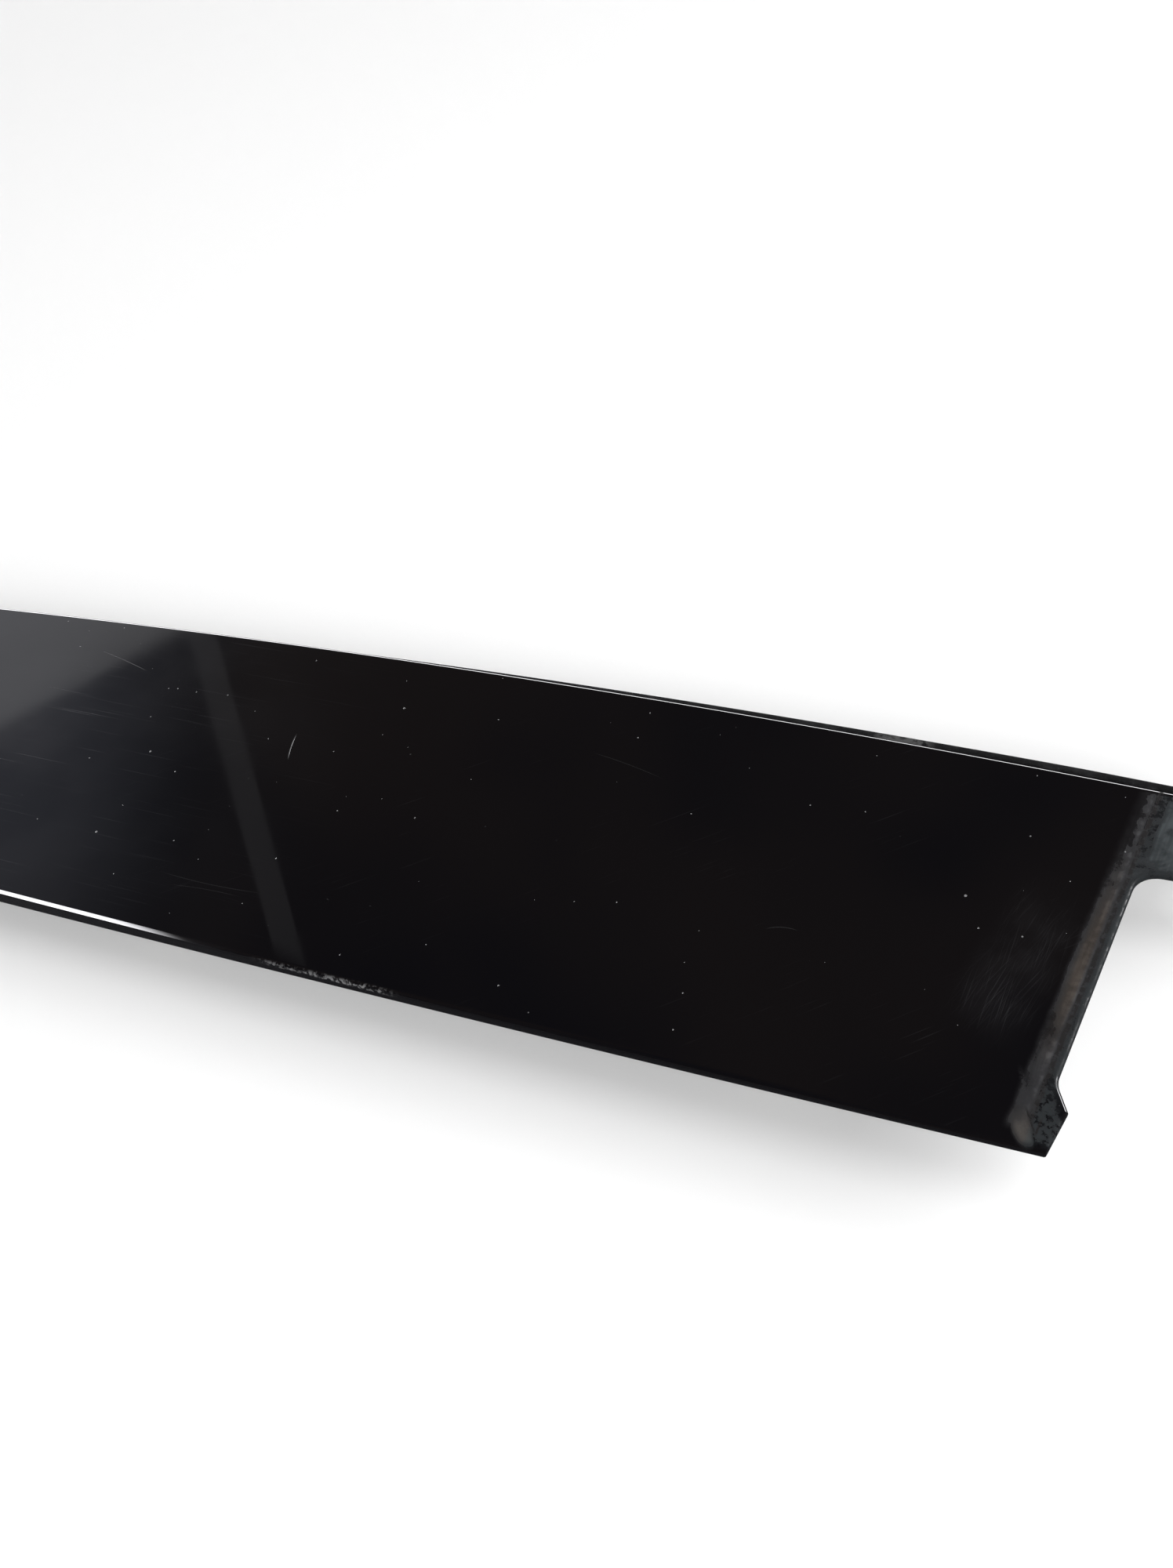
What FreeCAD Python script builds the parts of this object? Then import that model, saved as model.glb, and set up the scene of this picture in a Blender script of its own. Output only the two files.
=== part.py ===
"""Door-pillar cover plate: a long gloss plate with a notched, tongued end, built as an assembly.

Plan axes while modelling: x runs along the plate, positive towards the notched end; y runs across
it, positive towards the sealed edge; z is up out of the gloss face. Every sub-part is drawn from
the tab corner (x = 0, y about 0) with the gloss face at z = 0, and one placement then moves the
whole assembly so that its origin is the middle of its footprint, on the plane of the clip tips.
"""
import FreeCAD, Part
import math
import os
import Sketcher

os.makedirs("parts", exist_ok=True)
doc = FreeCAD.newDocument("door_cover_plate")

# ---------------------------------------------------------------- driving dimensions, in mm
DIMENSIONS = {
    # plan outline of the gloss face
    "plate_length": 440.0,       # tab corner to the plain end's near corner
    "plain_end_rake": 21.4,      # how far the plain end leans over its width
    "near_radius": 14300.0,      # bow of the near long edge
    "near_apex_x": -31.0,
    "near_apex_y": 0.7,
    "far_radius": 3050.0,        # bow of the sealed long edge
    "far_apex_x": -156.0,
    "far_apex_y": 103.95,
    "tab_tip_x": 3.5,
    "tab_tip_y": 10.7,
    "notch_foot_x": 0.95,
    "notch_foot_y": 16.6,
    "notch_head_x": 14.75,
    "tongue_near_y": 73.6,
    "tongue_reach": 50.0,
    # corner radii in plan
    "notch_foot_round": 5.0,
    "notch_head_round": 6.5,
    "tongue_round": 5.0,
    "plain_end_round": 4.0,
    "tab_round": 0.6,
    # face panel section
    "panel_thickness": 1.8,
    "skirt_wall": 1.8,
    "skirt_depth_max": 9.0,
    "skirt_slope": 0.0132,       # the turned-down edge deepens by this much per mm from the tab
    "face_round": 1.2,
    "end_wall_near_x": 2.2,      # the raked plain end's wall, measured along x at its two ends
    "end_wall_far_x": 1.47,
    "end_lean": 0.247,           # how far the raked ends move in x for each mm of y
    "blank_depth": 21.0,         # depth of the blanks that are then cut to the skirt's slope
    # carrier frame
    "tape_thickness": 0.6,
    "deck_thickness": 2.0,
    "nest_gap": 0.6,
    "rim_wall": 1.8,
    "flange_gap": 0.1,
    "flange_thickness": 1.8,
    "flange_reach": 2.2,
    "flange_end_x": 44.0,
    "deck_corner_x": -6.8,
    "deck_end_near_x": 3.1,
    "deck_end_far_x": 1.95,
    "carrier_notch_inset": 3.1,
    "carrier_tongue_inset": 4.0,
    "rib_thickness": 1.6,
    "rib_height": 4.0,
    "rib_pitch": 14.0,
    "rim_start_x": -424.0,
    "rib_start_x": -395.0,
    "rib_end_x": -36.0,
    "cross_rib_low_y": 13.0,
    "cross_rib_high_y": 88.0,
    # clips, three along the plate in two rows
    "station_first_x": -385.0,
    "station_pitch": 165.0,
    "row_near_y": 22.0,
    "row_far_y": 78.0,
    "tower_half_length": 9.5,
    "tower_half_width": 7.2,
    "tower_floor": 2.0,
    "tower_floor_depth": 12.0,   # gloss face to the underside of the tower floor
    "cavity_half_width": 5.2,
    "cavity_end": 7.7,
    "clip_float": 1.5,
    "slot_radius": 2.65,
    "slot_mouth_width": 4.4,
    "clip_play": 0.1,
    "clip_neck_radius": 2.5,
    "clip_head_length": 12.0,
    "clip_head_width": 10.0,
    "clip_head_thickness": 1.4,
    "collar_radius": 8.0,
    "collar_thickness": 1.2,
    "collar_edge_height": 0.4,
    "collar_bevel": 0.8,
    "stud_radius": 3.0,
    "stud_length": 12.0,
    "fin_radius": 4.4,
    "fin_pitch": 2.6,
    "fin_height": 1.7,
    "fin_edge": 0.3,
    "fin_first_depth": 2.7,
    "stud_tip_radius": 1.2,
    "stud_tip_height": 1.9,
    "gasket_radius": 7.6,
    "gasket_hole_radius": 3.1,
    "gasket_thickness": 2.0,
    "gasket_squeeze": 0.5,
    # locating pins and rest pads
    "pin_y": 50.0,
    "pin_radius": 3.0,
    "pin_depth": 20.0,           # gloss face to the pin's tip
    "pin_boss_radius": 5.5,
    "pin_boss_height": 4.0,
    "pin_tip_chamfer": 1.0,
    "pad_first_x": -302.5,
    "pad_pitch": 165.0,
    "pad_half_size": 5.0,
    # tongue fixing
    "bush_x": 35.0,
    "bush_y": 85.6,
    "bush_radius": 4.5,
    "bush_bore_radius": 3.2,
    "bush_length": 7.0,
    "bush_chamfer": 0.3,
    "boss_radius": 8.0,
    "tongue_pad_thickness": 3.5,
    "tongue_pad_start_x": 12.0,
    "tongue_pad_end_x": 25.0,
    "tongue_pad_low_y": 79.0,
    "tongue_pad_high_y": 93.0,
    # seal on the far flange
    "seal_gap": 0.5,
    "seal_reach": 3.2,
    "seal_above": 0.6,
    "seal_below": 0.8,
    "seal_start_x": -412.0,
    "seal_round": 0.35,
    "seal_blank_top": 5.0,
    # bonding tape
    "tape_start_x": -412.0,
    "tape_end_x": -14.0,
    "tape_edge_inset": 5.0,
    "tape_width": 8.0,
    "tape_middle_y": 46.0,
    # foam blocks
    "foam_proud": 1.0,
    "upper_foam_x": -430.0,
    "upper_foam_length": 13.0,
    "upper_foam_low_y": 15.0,
    "upper_foam_high_y": 81.0,
    "lower_foam_x": -31.0,
    "lower_foam_length": 14.0,
    "lower_foam_low_y": 12.0,
    "lower_foam_high_y": 88.0,
    # where the assembly's own frame sits, measured from the tab corner
    "frame_x": 194.47,
    "frame_y": -53.93,
    "frame_z": 25.3,
}

sheet = doc.addObject("Spreadsheet::Sheet", "Dims")
for row, (alias, number) in enumerate(DIMENSIONS.items(), start=1):
    sheet.set(f"A{row}", alias.replace("_", " "))
    sheet.set(f"B{row}", str(number))
    sheet.setAlias(f"B{row}", alias)
doc.recompute()


class Size:
    """A length that knows both its value now and the expression that binds it to the sheet."""

    def __init__(self, value, text):
        self.value = value
        self.text = text

    def _join(self, other, sign, value):
        return Size(value, f"({self.text} {sign} {as_size(other).text})")

    def __add__(self, other):
        return self._join(other, "+", self.value + as_size(other).value)

    def __sub__(self, other):
        return self._join(other, "-", self.value - as_size(other).value)

    def __mul__(self, other):
        return self._join(other, "*", self.value * as_size(other).value)

    def __neg__(self):
        return Size(-self.value, f"(0 - {self.text})")


def as_size(number):
    """Wrap a plain number, such as a count, so that it can stand beside a Size."""
    return number if isinstance(number, Size) else Size(float(number), f"{number}")


D = {alias: Size(number, f"Dims.{alias}") for alias, number in DIMENSIONS.items()}
ZERO = as_size(0)
CLEAR = as_size(1)              # cuts start and end this far outside the material
OVERRUN = as_size(20)           # side profiles run past the plate's ends by this much
SIDE_TOP, SIDE_BOTTOM = as_size(20), as_size(-30)
NOTHING_CUT = 0.01              # mm3; a cut that removes less than this has missed
SAME = 0.01                     # mm; two heights closer than this are the same


# ---------------------------------------------------------------- sketch helpers
def origin_plane(body, role):
    return [plane for plane in body.Origin.OriginFeatures if plane.Role == role][0]


def new_body(name):
    body = doc.addObject("PartDesign::Body", name)
    body.Label = name
    return body


def place(body, x=ZERO, y=ZERO, z=ZERO):
    """Put a sub-part, drawn in the tab-corner axes, where it sits in the assembly's frame."""
    body.setExpression("Placement.Base.x", (D["frame_x"] + x).text)
    body.setExpression("Placement.Base.y", (D["frame_y"] + y).text)
    body.setExpression("Placement.Base.z", (D["frame_z"] + z).text)


def new_sketch(body, name, height=None, plane="XY_Plane"):
    sketch = body.newObject("Sketcher::SketchObject", name)
    sketch.AttachmentSupport = [(origin_plane(body, plane), "")]
    sketch.MapMode = "FlatFace"
    if height is not None:
        sketch.setExpression("AttachmentOffset.Base.z", height.text)
    return sketch


def bind(sketch, kind, *where, size):
    """Add one dimensional constraint and tie it to the sheet."""
    index = sketch.addConstraint(Sketcher.Constraint(kind, *where, size.value))
    sketch.setExpression(f"Constraints[{index}]", size.text)


def point(x, y):
    return FreeCAD.Vector(x, y, 0)


class EdgeCurve:
    """One of the plate's two bowed long edges, moved inwards by an inset."""

    def __init__(self, side, inset=ZERO):
        radius = D[f"{side}_radius"]
        self.centre_x = D[f"{side}_apex_x"]
        if side == "near":
            self.centre_y = D["near_apex_y"] + radius
            self.bulge = -1.0
        else:
            self.centre_y = D["far_apex_y"] - radius
            self.bulge = 1.0
        self.radius = radius - inset

    def y_at(self, x):
        along = x - self.centre_x.value
        return self.centre_y.value + self.bulge * math.sqrt(self.radius.value ** 2 - along ** 2)


def loop(sketch, corners):
    """Draw a closed loop. Each corner is (x, y, curve of the edge that leaves it or None).

    y is None where the corner lies on a bowed edge and its x alone fixes it.
    """
    count = len(corners)
    spots = []
    for index, (x, y, curve) in enumerate(corners):
        on_curve = curve or corners[index - 1][2]
        spots.append(point(x.value, y.value if y is not None else on_curve.y_at(x.value)))
    drawn = []
    for index, (x, y, curve) in enumerate(corners):
        start, end = spots[index], spots[(index + 1) % count]
        if curve is None:
            drawn.append((sketch.addGeometry(Part.LineSegment(start, end)), 1, 2))
            continue
        centre = point(curve.centre_x.value, curve.centre_y.value)
        turn = (start - centre).cross(end - centre).z
        first, last = (start, end) if turn > 0 else (end, start)
        angles = [math.atan2(spot.y - centre.y, spot.x - centre.x) for spot in (first, last)]
        ring = Part.Circle(centre, FreeCAD.Vector(0, 0, 1), curve.radius.value)
        arc = sketch.addGeometry(Part.ArcOfCircle(ring, *angles))
        drawn.append((arc, 1, 2) if turn > 0 else (arc, 2, 1))
    for index in range(count):
        edge, _, end_point = drawn[index]
        next_edge, next_start, _ = drawn[(index + 1) % count]
        sketch.addConstraint(
            Sketcher.Constraint("Coincident", edge, end_point, next_edge, next_start))
    for (x, y, curve), (edge, start_point, _) in zip(corners, drawn):
        bind(sketch, "DistanceX", -1, 1, edge, start_point, size=x)
        if y is not None:
            bind(sketch, "DistanceY", -1, 1, edge, start_point, size=y)
        if curve is not None:
            bind(sketch, "DistanceX", -1, 1, edge, 3, size=curve.centre_x)
            bind(sketch, "DistanceY", -1, 1, edge, 3, size=curve.centre_y)
            bind(sketch, "Radius", edge, size=curve.radius)


def rectangle(sketch, low_x, low_y, high_x, high_y):
    loop(sketch, [(low_x, low_y, None), (high_x, low_y, None),
                  (high_x, high_y, None), (low_x, high_y, None)])


def band(sketch, side, outer_inset, inner_inset, low_x, high_x):
    """A strip with square ends that follows one bowed edge between two insets from it."""
    lower = EdgeCurve(side, inner_inset if side == "far" else outer_inset)
    upper = EdgeCurve(side, outer_inset if side == "far" else inner_inset)
    ends = []
    for curve in (lower, upper):
        centre = point(curve.centre_x.value, curve.centre_y.value)
        spots = [point(x.value, curve.y_at(x.value)) for x in (low_x, high_x)]
        if curve.bulge > 0:
            spots.reverse()
        angles = [math.atan2(spot.y - centre.y, spot.x - centre.x) for spot in spots]
        ring = Part.Circle(centre, FreeCAD.Vector(0, 0, 1), curve.radius.value)
        arc = sketch.addGeometry(Part.ArcOfCircle(ring, *angles))
        left, right = (2, 1) if curve.bulge > 0 else (1, 2)
        bind(sketch, "DistanceX", -1, 1, arc, 3, size=curve.centre_x)
        bind(sketch, "DistanceY", -1, 1, arc, 3, size=curve.centre_y)
        bind(sketch, "Radius", arc, size=curve.radius)
        bind(sketch, "DistanceX", -1, 1, arc, left, size=low_x)
        bind(sketch, "DistanceX", -1, 1, arc, right, size=high_x)
        ends.append((arc, left, right))
    (low_arc, low_left, low_right), (high_arc, high_left, high_right) = ends
    for x, low_end, high_end in ((low_x, low_left, high_left), (high_x, low_right, high_right)):
        foot = point(x.value, lower.y_at(x.value))
        head = point(x.value, upper.y_at(x.value))
        side_line = sketch.addGeometry(Part.LineSegment(foot, head))
        sketch.addConstraint(Sketcher.Constraint("Coincident", side_line, 1, low_arc, low_end))
        sketch.addConstraint(Sketcher.Constraint("Coincident", side_line, 2, high_arc, high_end))


def circle(sketch, x, y, radius):
    ring = sketch.addGeometry(Part.Circle(point(x.value, y.value), FreeCAD.Vector(0, 0, 1),
                                          radius.value))
    bind(sketch, "DistanceX", -1, 1, ring, 3, size=x)
    bind(sketch, "DistanceY", -1, 1, ring, 3, size=y)
    bind(sketch, "Radius", ring, size=radius)


# ---------------------------------------------------------------- feature helpers
def pad_down(body, sketch, length, name):
    pad = body.newObject("PartDesign::Pad", name)
    pad.Profile = sketch
    pad.Reversed = True
    pad.setExpression("Length", length.text)
    doc.recompute()


def cut_down(body, sketch, length, name):
    """Cut from the sketch plane towards -z, and make sure that something was removed."""
    before = body.Shape.Volume
    pocket = body.newObject("PartDesign::Pocket", name)
    pocket.Profile = sketch
    pocket.setExpression("Length", length.text)
    doc.recompute()
    if body.Shape.Volume > before - NOTHING_CUT:
        raise RuntimeError(f"{name} cut nothing")


def cut_side(body, sketch, name):
    """Cut right through across the plate with a profile drawn from the side."""
    before = body.Shape.Volume
    pocket = body.newObject("PartDesign::Pocket", name)
    pocket.Profile = sketch
    pocket.Type = "ThroughAll"
    pocket.Midplane = True
    doc.recompute()
    if body.Shape.Volume > before - NOTHING_CUT:
        raise RuntimeError(f"{name} cut nothing")


def round_edges(body, test, radius, name, kind="PartDesign::Fillet"):
    base = body.Tip
    names = [f"Edge{index}" for index, edge in enumerate(body.Shape.Edges, start=1) if test(edge)]
    if not names:
        raise RuntimeError(f"{name} found no edges")
    feature = body.newObject(kind, name)
    feature.Base = (base, names)
    feature.setExpression("Radius" if kind.endswith("Fillet") else "Size", radius.text)
    doc.recompute()


def upright_at(x, y):
    """Test for a vertical edge that stands at one plan position of a body's own axes."""
    tall_enough, slim_enough, near_enough = 0.8, 0.1, 0.6

    def test(edge):
        box = edge.BoundBox
        is_upright = (box.ZLength > tall_enough and box.XLength < slim_enough
                      and box.YLength < slim_enough)
        is_there = abs(box.Center.x - x) < near_enough and abs(box.Center.y - y) < near_enough
        return is_upright and is_there
    return test


def flat_at(height):
    """Test for an edge that lies all at one height of a body's own axes."""
    def test(edge):
        return abs(edge.BoundBox.ZMin - height) < SAME and abs(edge.BoundBox.ZMax - height) < SAME
    return test


def sloped_wedge(body, name, drop, above):
    """A side profile of all that lies above, or below, the line of the skirt's lower edge.

    The line falls away from the tab corner towards the plain end; drop lowers it.
    """
    low_x = (D["plate_length"] + OVERRUN) * -1
    high_x = D["tongue_reach"] + OVERRUN
    line_at_tab = (D["panel_thickness"] + drop) * -1
    line_at_low = line_at_tab + low_x * D["skirt_slope"]
    limit = SIDE_TOP if above else SIDE_BOTTOM
    sketch = new_sketch(body, name, plane="XZ_Plane")
    loop(sketch, [(low_x, line_at_low, None), (ZERO, line_at_tab, None),
                  (high_x, line_at_tab, None), (high_x, limit, None), (low_x, limit, None)])
    return sketch


STATIONS = [(D["station_first_x"] + D["station_pitch"] * column, D[row])
            for row in ("row_near_y", "row_far_y") for column in range(3)]
PADS = [(D["pad_first_x"] + D["pad_pitch"] * column, D[row])
        for row in ("row_near_y", "row_far_y") for column in range(2)]
PINS = [(D["station_first_x"], D["pin_y"]),
        (D["station_first_x"] + D["station_pitch"] * 2, D["pin_y"])]

deck_top = (D["panel_thickness"] + D["tape_thickness"]) * -1
deck_bottom = deck_top - D["deck_thickness"]
tower_bottom = D["tower_floor_depth"] * -1
tower_floor_top = tower_bottom + D["tower_floor"]
nest_inset = D["skirt_wall"] + D["nest_gap"]
CROSS_RIB_STEPS = (1, 2, 4, 5, 7, 8, 10, 11)    # in sixths of the station pitch
seat_plane = (tower_bottom - D["clip_play"] - D["collar_thickness"] - D["gasket_thickness"]
              + D["gasket_squeeze"])


# ---------------------------------------------------------------- face panel
def make_face_panel():
    body = new_body("face_panel")
    outline = new_sketch(body, "face_outline", ZERO)
    near, far = EdgeCurve("near"), EdgeCurve("far")
    loop(outline, [
        (D["plate_length"] * -1, None, near),
        (ZERO, None, None),
        (D["tab_tip_x"], D["tab_tip_y"], None),
        (D["notch_foot_x"], D["notch_foot_y"], None),
        (D["notch_head_x"], D["tongue_near_y"], None),
        (D["tongue_reach"], D["tongue_near_y"], None),
        (D["tongue_reach"], None, far),
        (D["plain_end_rake"] - D["plate_length"], None, None),
    ])
    pad_down(body, outline, D["skirt_depth_max"], "face_blank")

    hollow = new_sketch(body, "hollow_outline", D["panel_thickness"] * -1)
    wall = D["skirt_wall"]
    loop(hollow, [
        (D["end_wall_near_x"] - D["plate_length"], None, EdgeCurve("near", wall)),
        (D["tongue_reach"] + CLEAR, None, None),
        (D["tongue_reach"] + CLEAR, None, EdgeCurve("far", wall)),
        (D["end_wall_far_x"] + D["plain_end_rake"] - D["plate_length"], None, None),
    ])
    cut_down(body, hollow, D["skirt_depth_max"], "hollow")
    cut_side(body, sloped_wedge(body, "skirt_line", ZERO, above=False), "skirt_taper")

    hole = new_sketch(body, "bush_seat_circle", CLEAR)
    circle(hole, D["bush_x"], D["bush_y"], D["bush_radius"])
    cut_down(body, hole, D["panel_thickness"] + CLEAR * 2, "bush_seat")

    length, rake = D["plate_length"].value, D["plain_end_rake"].value
    reach = D["tongue_reach"].value
    tongue_y = D["tongue_near_y"].value
    corner_rounds = [
        ("notch_foot", D["notch_foot_x"].value, D["notch_foot_y"].value, "notch_foot_round"),
        ("notch_head", D["notch_head_x"].value, tongue_y, "notch_head_round"),
        ("tongue_near_corner", reach, tongue_y, "tongue_round"),
        ("tongue_far_corner", reach, far.y_at(reach), "tongue_round"),
        ("plain_near_corner", -length, near.y_at(-length), "plain_end_round"),
        ("plain_far_corner", rake - length, far.y_at(rake - length), "plain_end_round"),
        ("tab_corner", 0.0, near.y_at(0.0), "tab_round"),
        ("tab_tip", D["tab_tip_x"].value, D["tab_tip_y"].value, "tab_round"),
    ]
    for name, x, y, radius in corner_rounds:
        round_edges(body, upright_at(x, y), D[radius], f"{name}_fillet")

    on_face = flat_at(0.0)

    def on_face_rim(edge):
        is_hole = edge.Curve.TypeId == "Part::GeomCircle" and edge.isClosed()
        return on_face(edge) and not is_hole

    round_edges(body, on_face_rim, D["face_round"], "face_rim_fillet")
    place(body)
    return body


# ---------------------------------------------------------------- carrier frame
def make_carrier_frame():
    body = new_body("carrier_frame")

    flange = new_sketch(body, "flange_band", ZERO)
    band(flange, "far", D["flange_reach"] * -1, nest_inset + D["rim_wall"],
         D["seal_start_x"], D["flange_end_x"])
    pad_down(body, flange, D["blank_depth"], "flange_block")
    cut_side(body, sloped_wedge(body, "flange_top_line", D["flange_gap"], above=True),
             "flange_top")

    rims = new_sketch(body, "rim_bands", deck_top)
    band(rims, "far", nest_inset, nest_inset + D["rim_wall"], D["seal_start_x"],
         D["tape_end_x"])
    band(rims, "near", nest_inset, nest_inset + D["rim_wall"], D["rim_start_x"],
         D["tape_end_x"])
    pad_down(body, rims, D["blank_depth"], "rims")
    under_flange = D["flange_gap"] + D["flange_thickness"]
    cut_side(body, sloped_wedge(body, "flange_bottom_line", under_flange, above=False),
             "flange_bottom")

    deck = new_sketch(body, "deck_outline", deck_top)
    tongue_inset = D["carrier_tongue_inset"]
    deck_far = EdgeCurve("far", nest_inset)
    loop(deck, [
        (D["deck_end_near_x"] - D["plate_length"], None, EdgeCurve("near", nest_inset)),
        (D["deck_corner_x"], None, None),
        (D["notch_head_x"] - D["carrier_notch_inset"], D["tongue_near_y"] + tongue_inset, None),
        (D["tongue_reach"] - tongue_inset, D["tongue_near_y"] + tongue_inset, None),
        (D["tongue_reach"] - tongue_inset, None, deck_far),
        (D["deck_end_far_x"] + D["plain_end_rake"] - D["plate_length"], None, None),
    ])
    pad_down(body, deck, D["deck_thickness"], "deck")

    ribs = new_sketch(body, "rib_lines", deck_bottom)
    half_rib = D["rib_thickness"] * 0.5
    for step in (-1, 0, 1):
        middle = D["pin_y"] + D["rib_pitch"] * step
        rectangle(ribs, D["rib_start_x"], middle - half_rib, D["rib_end_x"], middle + half_rib)
    pad_down(body, ribs, D["rib_height"], "long_ribs")
    cross = new_sketch(body, "cross_rib_lines", deck_bottom)
    for step in CROSS_RIB_STEPS:
        middle = D["station_first_x"] + D["station_pitch"] * (step / 6)
        rectangle(cross, middle - half_rib, D["cross_rib_low_y"], middle + half_rib,
                  D["cross_rib_high_y"])
    pad_down(body, cross, D["rib_height"], "cross_ribs")

    towers = new_sketch(body, "tower_blocks", deck_bottom)
    half_length, half_width = D["tower_half_length"], D["tower_half_width"]
    for x, y in STATIONS:
        rectangle(towers, x - half_length, y - half_width, x + half_length, y + half_width)
    pad_down(body, towers, deck_bottom - tower_bottom, "towers")
    cavities = new_sketch(body, "cavity_blocks", deck_bottom)
    for x, y in STATIONS:
        rectangle(cavities, x - half_length - CLEAR, y - D["cavity_half_width"],
                  x + D["cavity_end"], y + D["cavity_half_width"])
    cut_down(body, cavities, deck_bottom - tower_floor_top, "cavities")
    mouths = new_sketch(body, "slot_mouths", tower_floor_top)
    half_mouth = D["slot_mouth_width"] * 0.5
    for x, y in STATIONS:
        rectangle(mouths, x - half_length - CLEAR, y - half_mouth, x, y + half_mouth)
    cut_down(body, mouths, D["tower_floor"] + CLEAR, "slot_mouth_cuts")
    for name, travel in (("front", D["clip_float"]), ("back", D["clip_float"] * -1)):
        ends = new_sketch(body, f"slot_{name}_circles", tower_floor_top)
        for x, y in STATIONS:
            circle(ends, x + travel, y, D["slot_radius"])
        cut_down(body, ends, D["tower_floor"] + CLEAR, f"slot_{name}")
    middles = new_sketch(body, "slot_middles", tower_floor_top)
    for x, y in STATIONS:
        rectangle(middles, x - D["clip_float"], y - D["slot_radius"], x + D["clip_float"],
                  y + D["slot_radius"])
    cut_down(body, middles, D["tower_floor"] + CLEAR, "slot_middle_cuts")

    pads = new_sketch(body, "rest_pad_blocks", deck_bottom)
    half_pad = D["pad_half_size"]
    for x, y in PADS:
        rectangle(pads, x - half_pad, y - half_pad, x + half_pad, y + half_pad)
    pad_down(body, pads, deck_bottom - seat_plane, "rest_pads")

    bosses = new_sketch(body, "pin_boss_circles", deck_bottom)
    pins = new_sketch(body, "pin_circles", deck_bottom)
    for x, y in PINS:
        circle(bosses, x, y, D["pin_boss_radius"])
        circle(pins, x, y, D["pin_radius"])
    pad_down(body, bosses, D["pin_boss_height"], "pin_bosses")
    pad_down(body, pins, D["pin_depth"] + deck_bottom, "pins")

    boss = new_sketch(body, "tongue_boss_circle", deck_bottom)
    circle(boss, D["bush_x"], D["bush_y"], D["boss_radius"])
    pad_down(body, boss, D["bush_length"] + deck_bottom, "tongue_boss")
    bore = new_sketch(body, "tongue_bore_circle", deck_top + CLEAR)
    circle(bore, D["bush_x"], D["bush_y"], D["bush_radius"])
    cut_down(body, bore, D["bush_length"] + CLEAR, "tongue_bore")

    round_edges(body, flat_at(-D["pin_depth"].value), D["pin_tip_chamfer"], "pin_tips",
                "PartDesign::Chamfer")
    place(body)
    return body


# ---------------------------------------------------------------- seal on the far flange
def make_seal_lip(carrier):
    blank = new_body("seal_blank")
    strip = new_sketch(blank, "seal_band", D["seal_blank_top"])
    band(strip, "far", D["seal_reach"] * -1, D["seal_gap"] * -1, D["seal_start_x"],
         D["flange_end_x"])
    pad_down(blank, strip, D["blank_depth"], "seal_strip")
    cut_side(blank, sloped_wedge(blank, "seal_top_line", D["seal_above"] * -1, above=True),
             "seal_top")
    lower = D["flange_gap"] + D["flange_thickness"] + D["seal_below"]
    cut_side(blank, sloped_wedge(blank, "seal_bottom_line", lower, above=False), "seal_bottom")

    outer = EdgeCurve("far", D["seal_reach"] * -1)
    long_enough, near_enough = 40, 0.05

    def on_outer_edge(edge):
        middle = edge.valueAt((edge.FirstParameter + edge.LastParameter) / 2)
        runs_along = edge.BoundBox.XLength > long_enough
        return runs_along and abs(middle.y - outer.y_at(middle.x)) < near_enough

    round_edges(blank, on_outer_edge, D["seal_round"], "seal_rounding")
    place(blank)
    seal = doc.addObject("Part::Cut", "seal_lip")
    seal.Label = "seal_lip"
    seal.Base = blank
    seal.Tool = carrier
    doc.recompute()
    return seal


# ---------------------------------------------------------------- tape and foam
def make_strip(name, top, thickness, draw):
    """A flat strip or block: draw fills in its plan outline."""
    body = new_body(name)
    sketch = new_sketch(body, f"{name}_outline", top)
    draw(sketch)
    pad_down(body, sketch, thickness, f"{name}_pad")
    place(body)
    return body


def make_tapes():
    top = D["panel_thickness"] * -1
    inner = D["tape_edge_inset"] + D["tape_width"]

    def along(side):
        return lambda sketch: band(sketch, side, D["tape_edge_inset"], inner,
                                   D["tape_start_x"], D["tape_end_x"])

    def middle(sketch):
        rectangle(sketch, D["tape_start_x"], D["tape_middle_y"], D["tape_end_x"],
                  D["tape_middle_y"] + D["tape_width"])

    return [make_strip("tape_near", top, D["tape_thickness"], along("near")),
            make_strip("tape_middle", top, D["tape_thickness"], middle),
            make_strip("tape_far", top, D["tape_thickness"], along("far"))]


def make_foams():
    height = deck_bottom - seat_plane + D["foam_proud"]

    def block(end):
        """A foam block with the same lean as the plate's raked ends."""
        def draw(sketch):
            low_x, length = D[f"{end}_foam_x"], D[f"{end}_foam_length"]
            low_y, high_y = D[f"{end}_foam_low_y"], D[f"{end}_foam_high_y"]
            lean = (high_y - low_y) * D["end_lean"]
            loop(sketch, [(low_x, low_y, None), (low_x + length, low_y, None),
                          (low_x + length + lean, high_y, None), (low_x + lean, high_y, None)])
        return draw

    def tongue(sketch):
        rectangle(sketch, D["tongue_pad_start_x"], D["tongue_pad_low_y"],
                  D["tongue_pad_end_x"], D["tongue_pad_high_y"])

    return [make_strip("upper_foam_block", deck_bottom, height, block("upper")),
            make_strip("lower_foam_block", deck_bottom, height, block("lower")),
            make_strip("tongue_pad", deck_bottom, D["tongue_pad_thickness"], tongue)]


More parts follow.
